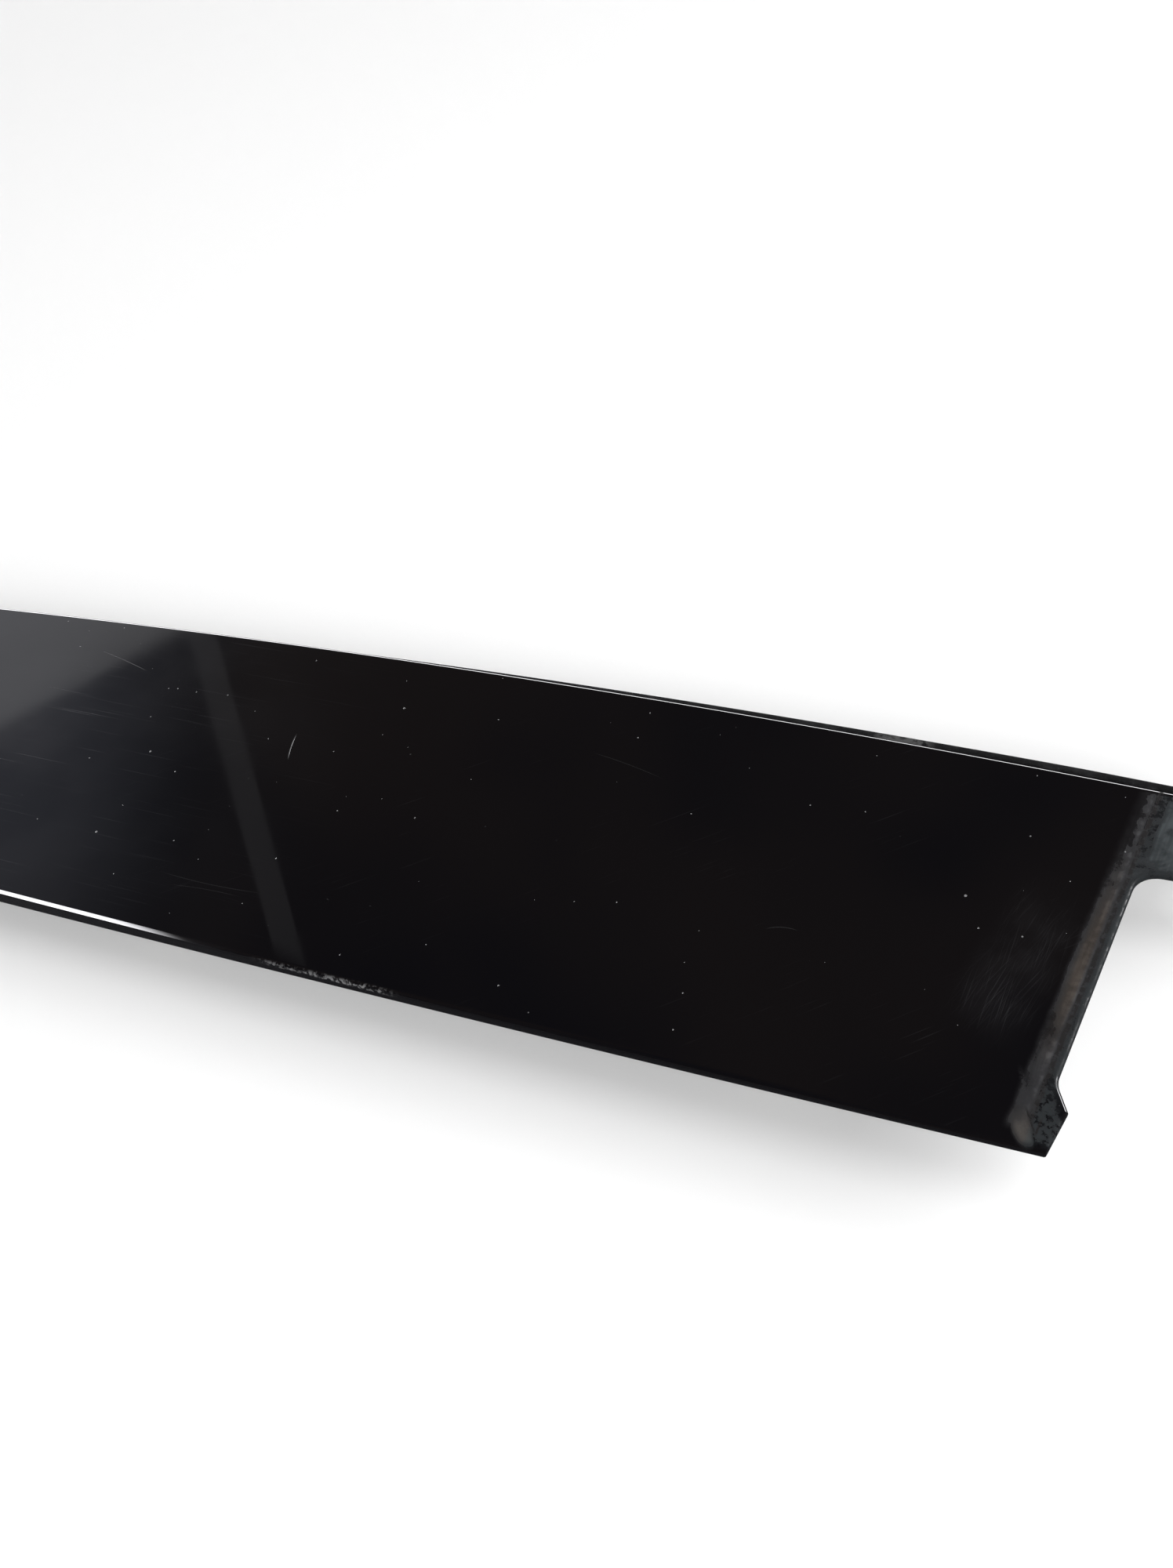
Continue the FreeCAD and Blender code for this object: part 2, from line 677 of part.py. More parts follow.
# ---------------------------------------------------------------- clips, gaskets, bush
def make_clip(number, x, y):
    """A push-in retainer: its head is held in a tower, its finned stud goes into the door."""
    body = new_body(f"clip_{number}")
    play, neck = D["clip_play"], D["clip_neck_radius"]
    head_base = D["tower_floor"] + play
    collar_top = play * -1
    collar_base = collar_top - D["collar_thickness"]
    stud, fin = D["stud_radius"], D["fin_radius"]
    tip = collar_base - D["stud_length"]
    profile = new_sketch(body, f"clip_{number}_profile", plane="XZ_Plane")
    corners = [(ZERO, head_base), (neck, head_base), (neck, collar_top),
               (D["collar_radius"], collar_top),
               (D["collar_radius"], collar_base + D["collar_edge_height"]),
               (D["collar_radius"] - D["collar_bevel"], collar_base), (stud, collar_base)]
    for step in range(3):
        fin_top = collar_base - D["fin_first_depth"] - D["fin_pitch"] * step
        corners += [(stud, fin_top), (fin, fin_top), (fin, fin_top - D["fin_edge"]),
                    (stud, fin_top - D["fin_height"])]
    corners += [(stud, tip + D["stud_tip_height"]), (D["stud_tip_radius"], tip), (ZERO, tip)]
    loop(profile, [(radius, height, None) for radius, height in corners])
    turned = body.newObject("PartDesign::Revolution", f"clip_{number}_turned")
    turned.Profile = profile
    turned.ReferenceAxis = (profile, ["V_Axis"])
    turned.Angle = 360
    doc.recompute()

    half_length, half_width = D["clip_head_length"] * 0.5, D["clip_head_width"] * 0.5
    head = new_sketch(body, f"clip_{number}_head_outline",
                      head_base + D["clip_head_thickness"])
    rectangle(head, half_length * -1, half_width * -1, half_length, half_width)
    pad_down(body, head, D["clip_head_thickness"], f"clip_{number}_head")
    place(body, x, y, tower_bottom)
    return body


def make_gasket(number, x, y):
    body = new_body(f"clip_gasket_{number}")
    ring = new_sketch(body, f"clip_gasket_{number}_rings",
                      (D["clip_play"] + D["collar_thickness"]) * -1)
    circle(ring, ZERO, ZERO, D["gasket_radius"])
    circle(ring, ZERO, ZERO, D["gasket_hole_radius"])
    pad_down(body, ring, D["gasket_thickness"], f"clip_gasket_{number}_pad")
    place(body, x, y, tower_bottom)
    return body


def make_bush():
    body = new_body("tongue_bush")
    rings = new_sketch(body, "bush_rings", ZERO)
    circle(rings, ZERO, ZERO, D["bush_radius"])
    circle(rings, ZERO, ZERO, D["bush_bore_radius"])
    pad_down(body, rings, D["bush_length"], "bush_tube")
    rim = D["bush_radius"].value

    def on_outer_rim(edge):
        return edge.Curve.TypeId == "Part::GeomCircle" and abs(edge.Curve.Radius - rim) < SAME

    round_edges(body, on_outer_rim, D["bush_chamfer"], "bush_chamfers", "PartDesign::Chamfer")
    place(body, D["bush_x"], D["bush_y"])
    return body


# ---------------------------------------------------------------- build, check, write
face_panel = make_face_panel()
carrier_frame = make_carrier_frame()
subparts = [face_panel, carrier_frame, make_seal_lip(carrier_frame), make_bush()]
subparts += make_tapes()
subparts += make_foams()
for station, (station_x, station_y) in enumerate(STATIONS, start=1):
    subparts.append(make_clip(station, station_x, station_y))
    subparts.append(make_gasket(station, station_x, station_y))
doc.recompute()

for item in doc.Objects:
    if "Invalid" in item.State or "Error" in item.State:
        raise RuntimeError(f"{item.Label} failed: {item.State}")
whole = FreeCAD.BoundBox()
for part in subparts:
    shape = part.Shape
    if shape.isNull() or not shape.isValid() or len(shape.Solids) != 1:
        raise RuntimeError(f"{part.Label} is not one valid solid")
    shape.exportStep(f"parts/{part.Label}.step")
    whole.add(shape.BoundBox)
    print(f"{part.Label:20s} {shape.Volume:10.1f} mm3")
print("box", [round(value, 3) for value in (whole.XMin, whole.XMax, whole.YMin, whole.YMax,
                                            whole.ZMin, whole.ZMax)])
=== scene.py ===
"""Studio scene for the gloss-black door cover plate: its finishes, soft parts, light and camera."""
import math

import bmesh
import bpy
from mathutils import Matrix, Vector, noise
from mathutils.geometry import tessellate_polygon


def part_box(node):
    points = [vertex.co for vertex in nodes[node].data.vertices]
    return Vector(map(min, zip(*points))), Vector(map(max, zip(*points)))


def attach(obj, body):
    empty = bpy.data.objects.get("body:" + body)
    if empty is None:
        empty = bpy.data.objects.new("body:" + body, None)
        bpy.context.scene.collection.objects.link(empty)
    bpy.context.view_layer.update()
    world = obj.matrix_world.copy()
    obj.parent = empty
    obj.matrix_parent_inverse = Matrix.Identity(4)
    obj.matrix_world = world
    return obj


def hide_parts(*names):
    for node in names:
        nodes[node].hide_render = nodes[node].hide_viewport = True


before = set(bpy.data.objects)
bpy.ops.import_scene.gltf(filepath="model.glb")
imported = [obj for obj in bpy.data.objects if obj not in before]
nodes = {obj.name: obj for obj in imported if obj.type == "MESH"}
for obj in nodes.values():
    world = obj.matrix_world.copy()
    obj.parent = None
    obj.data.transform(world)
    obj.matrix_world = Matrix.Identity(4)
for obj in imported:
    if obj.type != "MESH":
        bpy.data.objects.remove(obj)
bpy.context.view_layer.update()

MM = 0.001
# the plate's own axes start beside the corner of its small tab, on the gloss face
BUSH_SEAT = (35.0, 85.6, 4.5)
BUSH_LOW, BUSH_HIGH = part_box("tongue_bush")
BUSH_MIDDLE = (BUSH_LOW + BUSH_HIGH) / 2
GLOSS_FACE_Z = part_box("face_panel")[1].z
TAB_CORNER = Vector((BUSH_MIDDLE.x - BUSH_SEAT[0] * MM, BUSH_MIDDLE.y - BUSH_SEAT[1] * MM,
                     GLOSS_FACE_Z))


# ------------------------------------------------------------------ materials
class Finish:
    """A node material being built: one Principled shader and the nodes that feed it.

    Lengths inside a finish are millimetres from the plate's tab corner.
    """

    def __init__(self, name, color=(0.5, 0.5, 0.5), roughness=0.5):
        self.material = bpy.data.materials.new(name)
        self.material.use_nodes = True
        self.tree = self.material.node_tree
        self.shader = self.tree.nodes["Principled BSDF"]
        self.shader.inputs["Base Color"].default_value = (*color, 1)
        self.shader.inputs["Roughness"].default_value = roughness
        self._millimetres = None

    def node(self, kind, **settings):
        made = self.tree.nodes.new(kind)
        for key, value in settings.items():
            setattr(made, key, value)
        return made

    def feed(self, socket, value):
        if isinstance(value, bpy.types.NodeSocket):
            self.tree.links.new(value, socket)
        else:
            socket.default_value = value

    def set(self, **values):
        """Set or feed the shader's own inputs, written with underscores for spaces."""
        for name, value in values.items():
            if isinstance(value, tuple) and len(value) == 3:
                value = (*value, 1)
            self.feed(self.shader.inputs[name.replace("_", " ").title().replace("Ior", "IOR")], value)

    def millimetres(self):
        """Object coordinates, as millimetres from the tab corner."""
        if self._millimetres is None:
            place = self.node("ShaderNodeTexCoord").outputs["Object"]
            mapping = self.node("ShaderNodeMapping")
            mapping.inputs["Location"].default_value = -TAB_CORNER / MM
            mapping.inputs["Scale"].default_value = (1 / MM,) * 3
            self.feed(mapping.inputs["Vector"], place)
            self._millimetres = mapping.outputs["Vector"]
        return self._millimetres

    def split(self, vector):
        made = self.node("ShaderNodeSeparateXYZ")
        self.feed(made.inputs[0], vector)
        return made.outputs[0], made.outputs[1], made.outputs[2]

    def along(self, start, end):
        """Distance along a line drawn on the face, and distance to the left of it."""
        turn = math.atan2(end[1] - start[1], end[0] - start[0])
        mapping = self.node("ShaderNodeMapping", vector_type="TEXTURE")
        mapping.inputs["Location"].default_value = (start[0], start[1], 0)
        mapping.inputs["Rotation"].default_value = (0, 0, turn)
        self.feed(mapping.inputs["Vector"], self.millimetres())
        run, side, _ = self.split(mapping.outputs["Vector"])
        return run, side

    def calc(self, operation, first, second=0.0, clamp=False):
        made = self.node("ShaderNodeMath", operation=operation, use_clamp=clamp)
        self.feed(made.inputs[0], first)
        self.feed(made.inputs[1], second)
        return made.outputs[0]

    def times(self, *factors):
        product = factors[0]
        for factor in factors[1:]:
            product = self.calc("MULTIPLY", product, factor)
        return product

    def plus(self, *parts):
        total = parts[0]
        for part in parts[1:]:
            total = self.calc("ADD", total, part)
        return total

    def most(self, *parts):
        """The largest of several values."""
        largest = parts[0]
        for part in parts[1:]:
            largest = self.calc("MAXIMUM", largest, part)
        return largest

    def step(self, value, low, high, from_value=0.0, to_value=1.0):
        """A smooth step of value between low and high; high may be the smaller one."""
        made = self.node("ShaderNodeMapRange", interpolation_type="SMOOTHSTEP")
        if low > high:
            low, high, from_value, to_value = high, low, to_value, from_value
        for name, number in (("Value", value), ("From Min", low), ("From Max", high),
                             ("To Min", from_value), ("To Max", to_value)):
            self.feed(made.inputs[name], number)
        return made.outputs["Result"]

    def turned(self, turn):
        """The same coordinates, turned about the plate's upright axis."""
        mapping = self.node("ShaderNodeMapping")
        mapping.inputs["Rotation"].default_value = (0, 0, turn)
        self.feed(mapping.inputs["Vector"], self.millimetres())
        return mapping.outputs["Vector"]

    def noise(self, size, detail=3.0, stretch=(1, 1, 1), turn=0.0, roughness=0.5, warp=0.0):
        """Cloudy noise whose blotches are about size millimetres across."""
        made = self.node("ShaderNodeTexNoise")
        made.inputs["Scale"].default_value = 1 / size
        made.inputs["Detail"].default_value = detail
        made.inputs["Roughness"].default_value = roughness
        made.inputs["Distortion"].default_value = warp
        vector = self.millimetres()
        if stretch != (1, 1, 1) or turn:
            # the turn comes first, so that the stretch runs along the turned axis
            mapping = self.node("ShaderNodeMapping")
            mapping.inputs["Scale"].default_value = stretch
            self.feed(mapping.inputs["Vector"], self.turned(turn))
            vector = mapping.outputs["Vector"]
        self.feed(made.inputs["Vector"], vector)
        return made.outputs["Fac"]

    def cells(self, size, **settings):
        """Cells about size millimetres across: distance to their middles, a random value for each."""
        made = self.node("ShaderNodeTexVoronoi", **settings)
        made.inputs["Scale"].default_value = 1 / size
        self.feed(made.inputs["Vector"], self.millimetres())
        return made.outputs["Distance"], made.outputs["Color"]

    def specks(self, spacing, radius, share):
        """Round specks on the face: one may lie in each cell, and only a share of the cells has one."""
        distance, random = self.cells(spacing, voronoi_dimensions="2D")
        pick, size, _ = self.split(random)
        chosen = self.step(pick, share, share * 0.9)
        reach = self.times(size, radius / spacing)
        inside = self.calc("LESS_THAN", distance, reach)
        return self.times(inside, chosen)

    def scratch(self, start, end, width, bow=0.0):
        """A fine straight or slightly bowed scratch, which fades towards its ends."""
        run, side = self.along(start, end)
        length = math.dist(start, end)
        if bow:
            share = self.calc("DIVIDE", run, length)
            arch = self.times(share, self.calc("SUBTRACT", 1.0, share), 4.0 * bow)
            side = self.calc("SUBTRACT", side, arch)
        near_line = self.step(self.calc("ABSOLUTE", side), width, width * 0.3)
        starts = self.step(run, 0.0, length * 0.25)
        ends = self.step(run, length, length * 0.7)
        return self.times(near_line, starts, ends)

    def blend(self, share, first, second):
        made = self.node("ShaderNodeMix", data_type="RGBA")
        self.feed(made.inputs["Factor"], share)
        for socket, value in ((made.inputs["A"], first), (made.inputs["B"], second)):
            self.feed(socket, (*value, 1) if isinstance(value, tuple) else value)
        return made.outputs["Result"]

    def bump(self, height, distance, strength=1.0, under=None):
        """Raise the surface by distance millimetres at a height of one."""
        made = self.node("ShaderNodeBump")
        made.inputs["Distance"].default_value = distance * MM
        made.inputs["Strength"].default_value = strength
        self.feed(made.inputs["Height"], height)
        if under is not None:
            self.feed(made.inputs["Normal"], under)
        self.feed(self.shader.inputs["Normal"], made.outputs["Normal"])
        return made.outputs["Normal"]


# lines on the gloss face, in millimetres from the tab corner
NOTCH_FOOT, NOTCH_HEAD = (0.95, 16.6), (14.75, 73.6)
WEAR_LINE = ((-9.6, 3.0), (13.2, 98.0))
DIRT_LINE = ((-0.9, 18.0), (17.7, 94.0))
FOOT_LINE = ((-2.2, 0.9), (-5.2, 11.4))
SCRUB_LINE = ((-15.0, 26.0), (-2.0, 62.0))
TONGUE_RIM = ((0.0, 98.8), (50.0, 95.8))
CRACK_LINES = (((-4.8, 9.9), (-2.3, 3.5)), ((-2.6, 3.6), (-1.4, 8.3)))
CRACK_WIDTH = 0.34
# start, end, half width, bow and strength of each scratch
SCRATCHES = (
    ((-280.9, 88.3), (-259.0, 82.8), 0.13, 0.3, 0.11),
    ((-200.1, 60.3), (-202.2, 70.1), 0.16, 0.4, 0.24),
    ((-64.0, 38.2), (-56.2, 39.5), 0.08, 0.8, 0.05),
    ((-216.7, 18.8), (-184.7, 19.1), 0.12, -0.8, 0.02),
    ((-212.0, 15.5), (-190.0, 16.6), 0.09, 0.5, 0.02),
    ((-120.0, 81.0), (-98.0, 76.0), 0.06, 0.5, 0.04),
    ((-330.0, 40.0), (-318.0, 61.0), 0.08, 0.7, 0.05),
    ((-395.0, 70.0), (-372.0, 58.0), 0.08, -0.9, 0.05),
)

# the veil is the pale of fine marks on the black, and a painted sheen where the haze lies
DEEP_BLACK, VEIL = (0.0024, 0.0022, 0.0027), (0.5, 0.5, 0.53)
LINT, DIRT = (0.50, 0.50, 0.51), (0.012, 0.011, 0.011)
# the second colour here is a painted brown reflection, laid as a streak along the middle of the worn
# band
GREY_DUST, BROWN_REFLECTION_TINT = (0.060, 0.060, 0.063), (0.086, 0.068, 0.053)
PACKED_DUST, GREENISH_DUST = (0.092, 0.080, 0.068), (0.048, 0.060, 0.064)


class GlossFace(Finish):
    """Mirror-gloss moulded plastic, and the marks of use on it.

    Most of its methods give a share from 0 to 1 that says how much of a mark lies at each spot.
    """

    def __init__(self):
        super().__init__("gloss_black")
        self.x, self.y, self.z = self.split(self.millimetres())
        _, self.inward = self.along(NOTCH_FOOT, NOTCH_HEAD)
        self.foot_run, self.foot_side = self.along(*FOOT_LINE)
        self.fine_cloud = self.noise(3.2, 6, roughness=0.65)
        self.ragged = self.calc("SUBTRACT", self.noise(7, 4), 0.5)
        notch_turn = -math.atan2(NOTCH_HEAD[1] - NOTCH_FOOT[1], NOTCH_HEAD[0] - NOTCH_FOOT[0])
        self.streaks = self.noise(1.1, 4, stretch=(0.06, 1, 1), turn=notch_turn)
        self.notch_middle = self.times(self.step(self.y, 15, 40), self.step(self.y, 82, 50))
        self.plain_end = self.step(self.x, -165, -300)

    def notch_smears(self):
        """The worn band, between its own inner line and the line of dirt."""
        _, wear_side = self.along(*WEAR_LINE)
        depth = self.calc("SUBTRACT", self.ragged, wear_side)
        crisp, slow = self.step(depth, -0.3, 1.4), self.step(depth, -0.5, 5.0)
        head = self.step(self.y, 58, 74)
        low_part = self.times(self.step(self.y, 30, 20), self.step(self.y, 3.5, 7.5))
        smears = self.plus(self.times(self.notch_middle, crisp, 0.24),
                           self.times(self.notch_middle, slow, 0.44),
                           self.times(head, slow, 0.22), self.times(low_part, crisp, 0.20),
                           self.times(low_part, slow, 0.20))
        ridge = self.times(self.step(self.inward, 2.5, 3.2), self.step(self.inward, 5.0, 3.4),
                           self.step(self.noise(2.4, 4), 0.40, 0.62), self.step(self.y, 6, 16),
                           self.step(self.notch_middle, 0.0, 1.0, 0.42, 0.15))
        return self.times(self.plus(smears, ridge), self.step(self.fine_cloud, 0.30, 0.68, 0.62, 1.15),
                          self.step(self.noise(14, 3), 0.3, 0.7, 0.78, 1.15),
                          self.step(self.streaks, 0.3, 0.7, 0.72, 1.25), crisp)

    def edge_strip(self):
        """Blotchy film between the line of dirt and the notched edge."""
        return self.times(self.step(self.noise(2.0, 5, roughness=0.7), 0.3, 0.7, 0.16, 0.40),
                          self.step(self.y, 8, 22), self.step(self.y, 98, 60, 0.6, 1.0))

    def packed_foot(self):
        """A rounded heap of packed dust at the notch's foot, to the left of the crack."""
        wide = self.times(self.plus(self.foot_side, self.times(self.ragged, 1.6), -1.2), 1 / 3.2)
        high = self.times(self.plus(self.foot_run, self.times(self.ragged, 2.0), -5.0), 1 / 4.8)
        reach = self.plus(self.times(wide, wide), self.times(high, high))
        return self.times(self.step(reach, 1.0, 0.0), self.step(self.foot_side, -0.5, 0.3),
                          self.step(self.foot_run, 8.5, 3.5, 0.55, 1.0),
                          self.step(self.fine_cloud, 0.30, 0.62, 0.65, 1.0))

    def mottled_tab(self):
        """Mottled dust on the tab, to the right of the crack."""
        return self.times(self.step(self.foot_side, 0.2, -0.4), self.step(self.foot_side, -7.5, -4.5),
                          self.step(self.y, 1.2, 4.0), self.step(self.y, 19, 13),
                          self.step(self.noise(1.5, 6, roughness=0.7), 0.36, 0.56))

    def tongue_film(self):
        """The tongue is smeared all over, and thickly at its root."""
        on_tongue = self.times(self.step(self.y, 73.0, 76.0), self.step(self.inward, 0.4, -1.2))
        root = self.times(self.step(self.x, 46, 16),
                          self.step(self.noise(5, 6, warp=0.4), 0.30, 0.60),
                          self.step(self.streaks, 0.3, 0.7, 0.55, 1.15))
        return self.times(on_tongue, self.plus(0.16, self.times(root, 0.84)))

    def dust_film(self, foot):
        """All the dust at the notched end; the far rim is wiped clean of it."""
        inside_dirt_line = self.step(self.inward, 2.2, 2.9)
        outside = self.calc("SUBTRACT", 1.0, inside_dirt_line)
        film = self.plus(self.times(self.notch_smears(), inside_dirt_line),
                         self.times(self.edge_strip(), outside))
        film = self.most(film, self.times(self.mottled_tab(), 0.36), self.times(foot, 0.80),
                         self.tongue_film())
        _, past_rim = self.along(*TONGUE_RIM)
        return self.times(film, self.step(past_rim, 0.2, -0.8))

    def dirt_dashes(self):
        """Dashes of dirt, packed where the neighbouring trim met the face."""
        _, side = self.along(*DIRT_LINE)
        wobble = self.calc("SUBTRACT", self.noise(5, 3), 0.5)
        on_line = self.step(self.calc("ABSOLUTE", self.plus(side, wobble)), 0.72, 0.34)
        return self.times(on_line, self.step(self.noise(1.9, 5, roughness=0.7), 0.42, 0.50),
                          self.step(self.y, 2, 12))

    def fine_lines(self, width, turn, low, high, stretch):
        """Parallel hairlines that run at an angle of turn degrees below the plate's length."""
        lines = self.noise(width, 2, stretch=(stretch, 1, 1), turn=math.radians(turn))
        return self.step(lines, low, high)

    def scrubbed_patch(self):
        """A patch of crossing swirls beside the worn band."""
        run, side = self.along(*SCRUB_LINE)
        patch = self.times(self.step(self.calc("ABSOLUTE", side), 11, 2),
                           self.step(run, -6, 8), self.step(run, 46, 24))
        lines = [self.fine_lines(0.26, turn, 0.58, 0.76, 0.014) for turn in (-60, -70, -80)]
        return self.times(self.plus(*lines, 0.25), patch,
                          self.step(self.noise(11, 3), 0.35, 0.62, 0.4, 1.0))

    def scuffed_rim(self):
        """A scuffed length of the near rim."""
        return self.times(self.step(self.y, 2.2, 0.9), self.step(self.z, -2.0, -1.0),
                          self.step(self.x, -181, -174), self.step(self.x, -140, -149),
                          self.step(self.noise(1.1, 5, roughness=0.7), 0.46, 0.58))

    def rubbed_rim(self):
        """A short rubbed length of the far rim."""
        return self.times(self.step(self.y, 101.0, 101.6), self.step(self.x, -49, -45),
                          self.step(self.x, -36, -40))

    def dust_and_reflection_tint(self, foot):
        """The dust is grey, with a painted brown reflection streaked along the band's middle; it is
        palest at its foot and greenish at the edge.
        """
        # a painted brown reflection: a streak along the middle of the worn band
        brown_reflection_streak = self.times(self.notch_middle, self.step(self.inward, 6.4, 4.4),
                          self.step(self.inward, 2.6, 3.6))
        tint = self.blend(self.times(brown_reflection_streak, 0.7), GREY_DUST, BROWN_REFLECTION_TINT)
        tint = self.blend(self.times(foot, 0.7), tint, PACKED_DUST)
        return self.blend(self.times(self.step(self.inward, 2.3, 1.2), 0.6), tint, GREENISH_DUST)


def make_gloss_black():
    """The face's gloss black: hairlines, specks, scratches, a painted sheen towards the plain end, and
    a worn dusty band at the notch with a painted brown reflection in it.
    """
    face = GlossFace()
    foot = face.packed_foot()
    dust = face.dust_film(foot)
    dashes = face.dirt_dashes()
    crack = face.most(*[face.scratch(start, end, CRACK_WIDTH) for start, end in CRACK_LINES])
    scratches = face.most(*[face.times(face.scratch(start, end, width, bow), strength)
                            for start, end, width, bow, strength in SCRATCHES])
    specks = face.most(face.specks(10, 0.20, 0.28), face.specks(31, 0.36, 0.36))

    hairline = face.times(face.fine_lines(0.5, 1, 0.63, 0.76, 0.012), face.plain_end)
    wipe_marks = face.times(face.fine_lines(0.42, -38, 0.66, 0.78, 0.02),
                            face.step(face.noise(34, 2), 0.46, 0.62))
    # paler towards the plain end: a painted sheen of the window's light scattered in the haze; it also
    # roughens the face there
    haze_and_sheen = face.times(face.plain_end, face.step(face.noise(40, 3), 0.35, 0.7, 0.45, 1.0))
    faint = face.plus(face.times(hairline, 0.035), face.times(wipe_marks, 0.012),
                      face.times(haze_and_sheen, 0.018), face.times(face.scrubbed_patch(), 0.026))
    marks = face.most(scratches, face.times(specks, 0.36), face.times(face.scuffed_rim(), 0.40),
                      face.times(face.rubbed_rim(), 0.25))

    # the veil brings in the fine marks and the painted sheen of the haze
    color = face.blend(faint, DEEP_BLACK, VEIL)
    color = face.blend(face.calc("MINIMUM", dust, 0.9), color, face.dust_and_reflection_tint(foot))
    color = face.blend(marks, color, LINT)
    color = face.blend(face.most(face.times(dashes, 0.85), crack), color, DIRT)
    dulled = face.most(face.step(dust, 0.02, 0.35), marks, dashes)
    shine = face.plus(face.step(face.noise(26, 4), 0.3, 0.75, 0.012, 0.05), face.times(haze_and_sheen, 0.05),
                      face.times(hairline, 0.12))
    face.set(Base_Color=color, Roughness=face.calc("ADD", shine, face.times(dulled, 0.5), True),
             Specular_IOR_Level=face.plus(0.5, face.times(dulled, -0.46)), IOR=1.49)
    relief = face.plus(face.times(specks, 0.8), face.times(dust, face.fine_cloud, 0.6),
                       face.times(crack, -1.4), face.times(scratches, -3.0))
    ripple = face.bump(face.noise(38, 1.0), 0.010, 1.0)
    face.bump(relief, 0.05, 0.7, under=ripple)
    return face.material


def make_carrier_black():
    """Moulded carrier: fine spark-eroded grain, flow marks, ejector marks and settled dust."""
    finish = Finish("carrier_black")
    grain = finish.noise(0.28, 3, roughness=0.7)
    flow = finish.noise(30, 3, stretch=(0.25, 1, 1), warp=0.8)
    dusty = finish.step(finish.noise(9, 5, roughness=0.65), 0.52, 0.74)
    distance, _ = finish.cells(27.5)
    ejector = finish.times(finish.step(distance, 0.098, 0.088), finish.step(distance, 0.070, 0.082))
    color = finish.blend(finish.step(flow, 0.35, 0.7), (0.017, 0.017, 0.018), (0.026, 0.026, 0.028))
    color = finish.blend(finish.times(dusty, 0.09), color, (0.30, 0.29, 0.27))
    color = finish.blend(finish.times(ejector, 0.5), color, (0.05, 0.05, 0.052))
    finish.set(Base_Color=color, Roughness=finish.plus(finish.step(flow, 0.3, 0.7, 0.42, 0.56),
                                                       finish.times(dusty, 0.16)))
    fine = finish.bump(grain, 0.03, 0.8)
    finish.bump(ejector, 0.06, 0.7, under=fine)
    return finish.material


def make_seal_rubber():
    """Extruded rubber with fine lines along its length, a waxy bloom and a rubbed patch."""
    finish = Finish("seal_rubber")
    x, y, _ = finish.split(finish.millimetres())
    lines = finish.noise(0.22, 2, stretch=(0.008, 1, 1))
    bloom = finish.step(finish.noise(11, 4, roughness=0.6), 0.48, 0.72)
    flock = finish.noise(0.30, 2, roughness=0.8)
    rubbed = finish.times(finish.step(x, -52, -46), finish.step(x, -33, -39),
                          finish.step(finish.noise(1.6, 4), 0.36, 0.56))
    color = finish.blend(finish.times(bloom, 0.12), (0.0050, 0.0050, 0.0054), (0.11, 0.11, 0.115))
    color = finish.blend(finish.times(finish.step(flock, 0.60, 0.70), 0.08), color, (0.35, 0.35, 0.35))
    color = finish.blend(finish.times(rubbed, 0.15), color, (0.42, 0.42, 0.42))
    finish.set(Base_Color=color, Roughness=finish.step(bloom, 0.0, 1.0, 0.52, 0.74),
               Specular_IOR_Level=0.02)
    finish.bump(finish.plus(finish.times(lines, 0.7), finish.times(flock, 0.3)), 0.05, 0.6)
    return finish.material


def make_zinc_steel():
    """Zinc plate with the drawn tube's fine lines and a patchy pale bloom."""
    finish = Finish("zinc_steel")
    drawn = finish.noise(0.12, 2, stretch=(1, 1, 0.02))
    spangle = finish.noise(1.6, 4, roughness=0.6)
    dull = finish.step(spangle, 0.44, 0.66)
    color = finish.blend(dull, (0.68, 0.67, 0.62), (0.50, 0.50, 0.47))
    finish.set(Base_Color=color, Metallic=1.0,
               Roughness=finish.plus(finish.step(dull, 0, 1, 0.24, 0.42), finish.times(drawn, 0.08)))
    finish.bump(drawn, 0.012, 0.7)
    return finish.material


def make_bonding_tape():
    """Grey acrylic foam tape, seen at its cut edge: tiny closed bubbles and fibres of dust."""
    finish = Finish("bonding_tape")
    distance, random = finish.cells(0.22)
    _, tone, _ = finish.split(random)
    bubble = finish.step(distance, 0.15, 0.5)
    color = finish.blend(finish.step(tone, 0.2, 0.8), (0.060, 0.061, 0.064), (0.105, 0.106, 0.110))
    color = finish.blend(finish.times(finish.step(finish.noise(6, 4), 0.5, 0.7), 0.2), color,
                         (0.30, 0.29, 0.27))
    finish.set(Base_Color=color, Roughness=0.62)
    finish.bump(bubble, 0.04, 0.8)
    return finish.material


def make_foam(name, cell, dark, light, depth):
    """Polyurethane or polyethylene foam: open or closed cells with painted shade in their pits, and
    lint caught on it.
    """
    finish = Finish(name)
    distance, random = finish.cells(cell)
    coarse, _ = finish.cells(cell * 2.3)
    _, tone, _ = finish.split(random)
    pit = finish.step(distance, 0.10, 0.55)
    large_pit = finish.step(coarse, 0.08, 0.30)
    wall = finish.times(pit, large_pit)
    patch = finish.noise(8, 3)
    # the cells' pits are painted darker than their walls: painted shade in the hollows that the bump
    # sinks
    color = finish.blend(wall, tuple(value * 0.35 for value in dark), light)
    color = finish.blend(finish.times(tone, 0.35), color, dark)
    color = finish.blend(finish.times(finish.step(patch, 0.5, 0.75), 0.16), color, (0.30, 0.29, 0.27))
    finish.set(Base_Color=color, Roughness=0.9, Specular_IOR_Level=0.2)
    finish.bump(wall, depth, 0.9)
    return finish.material


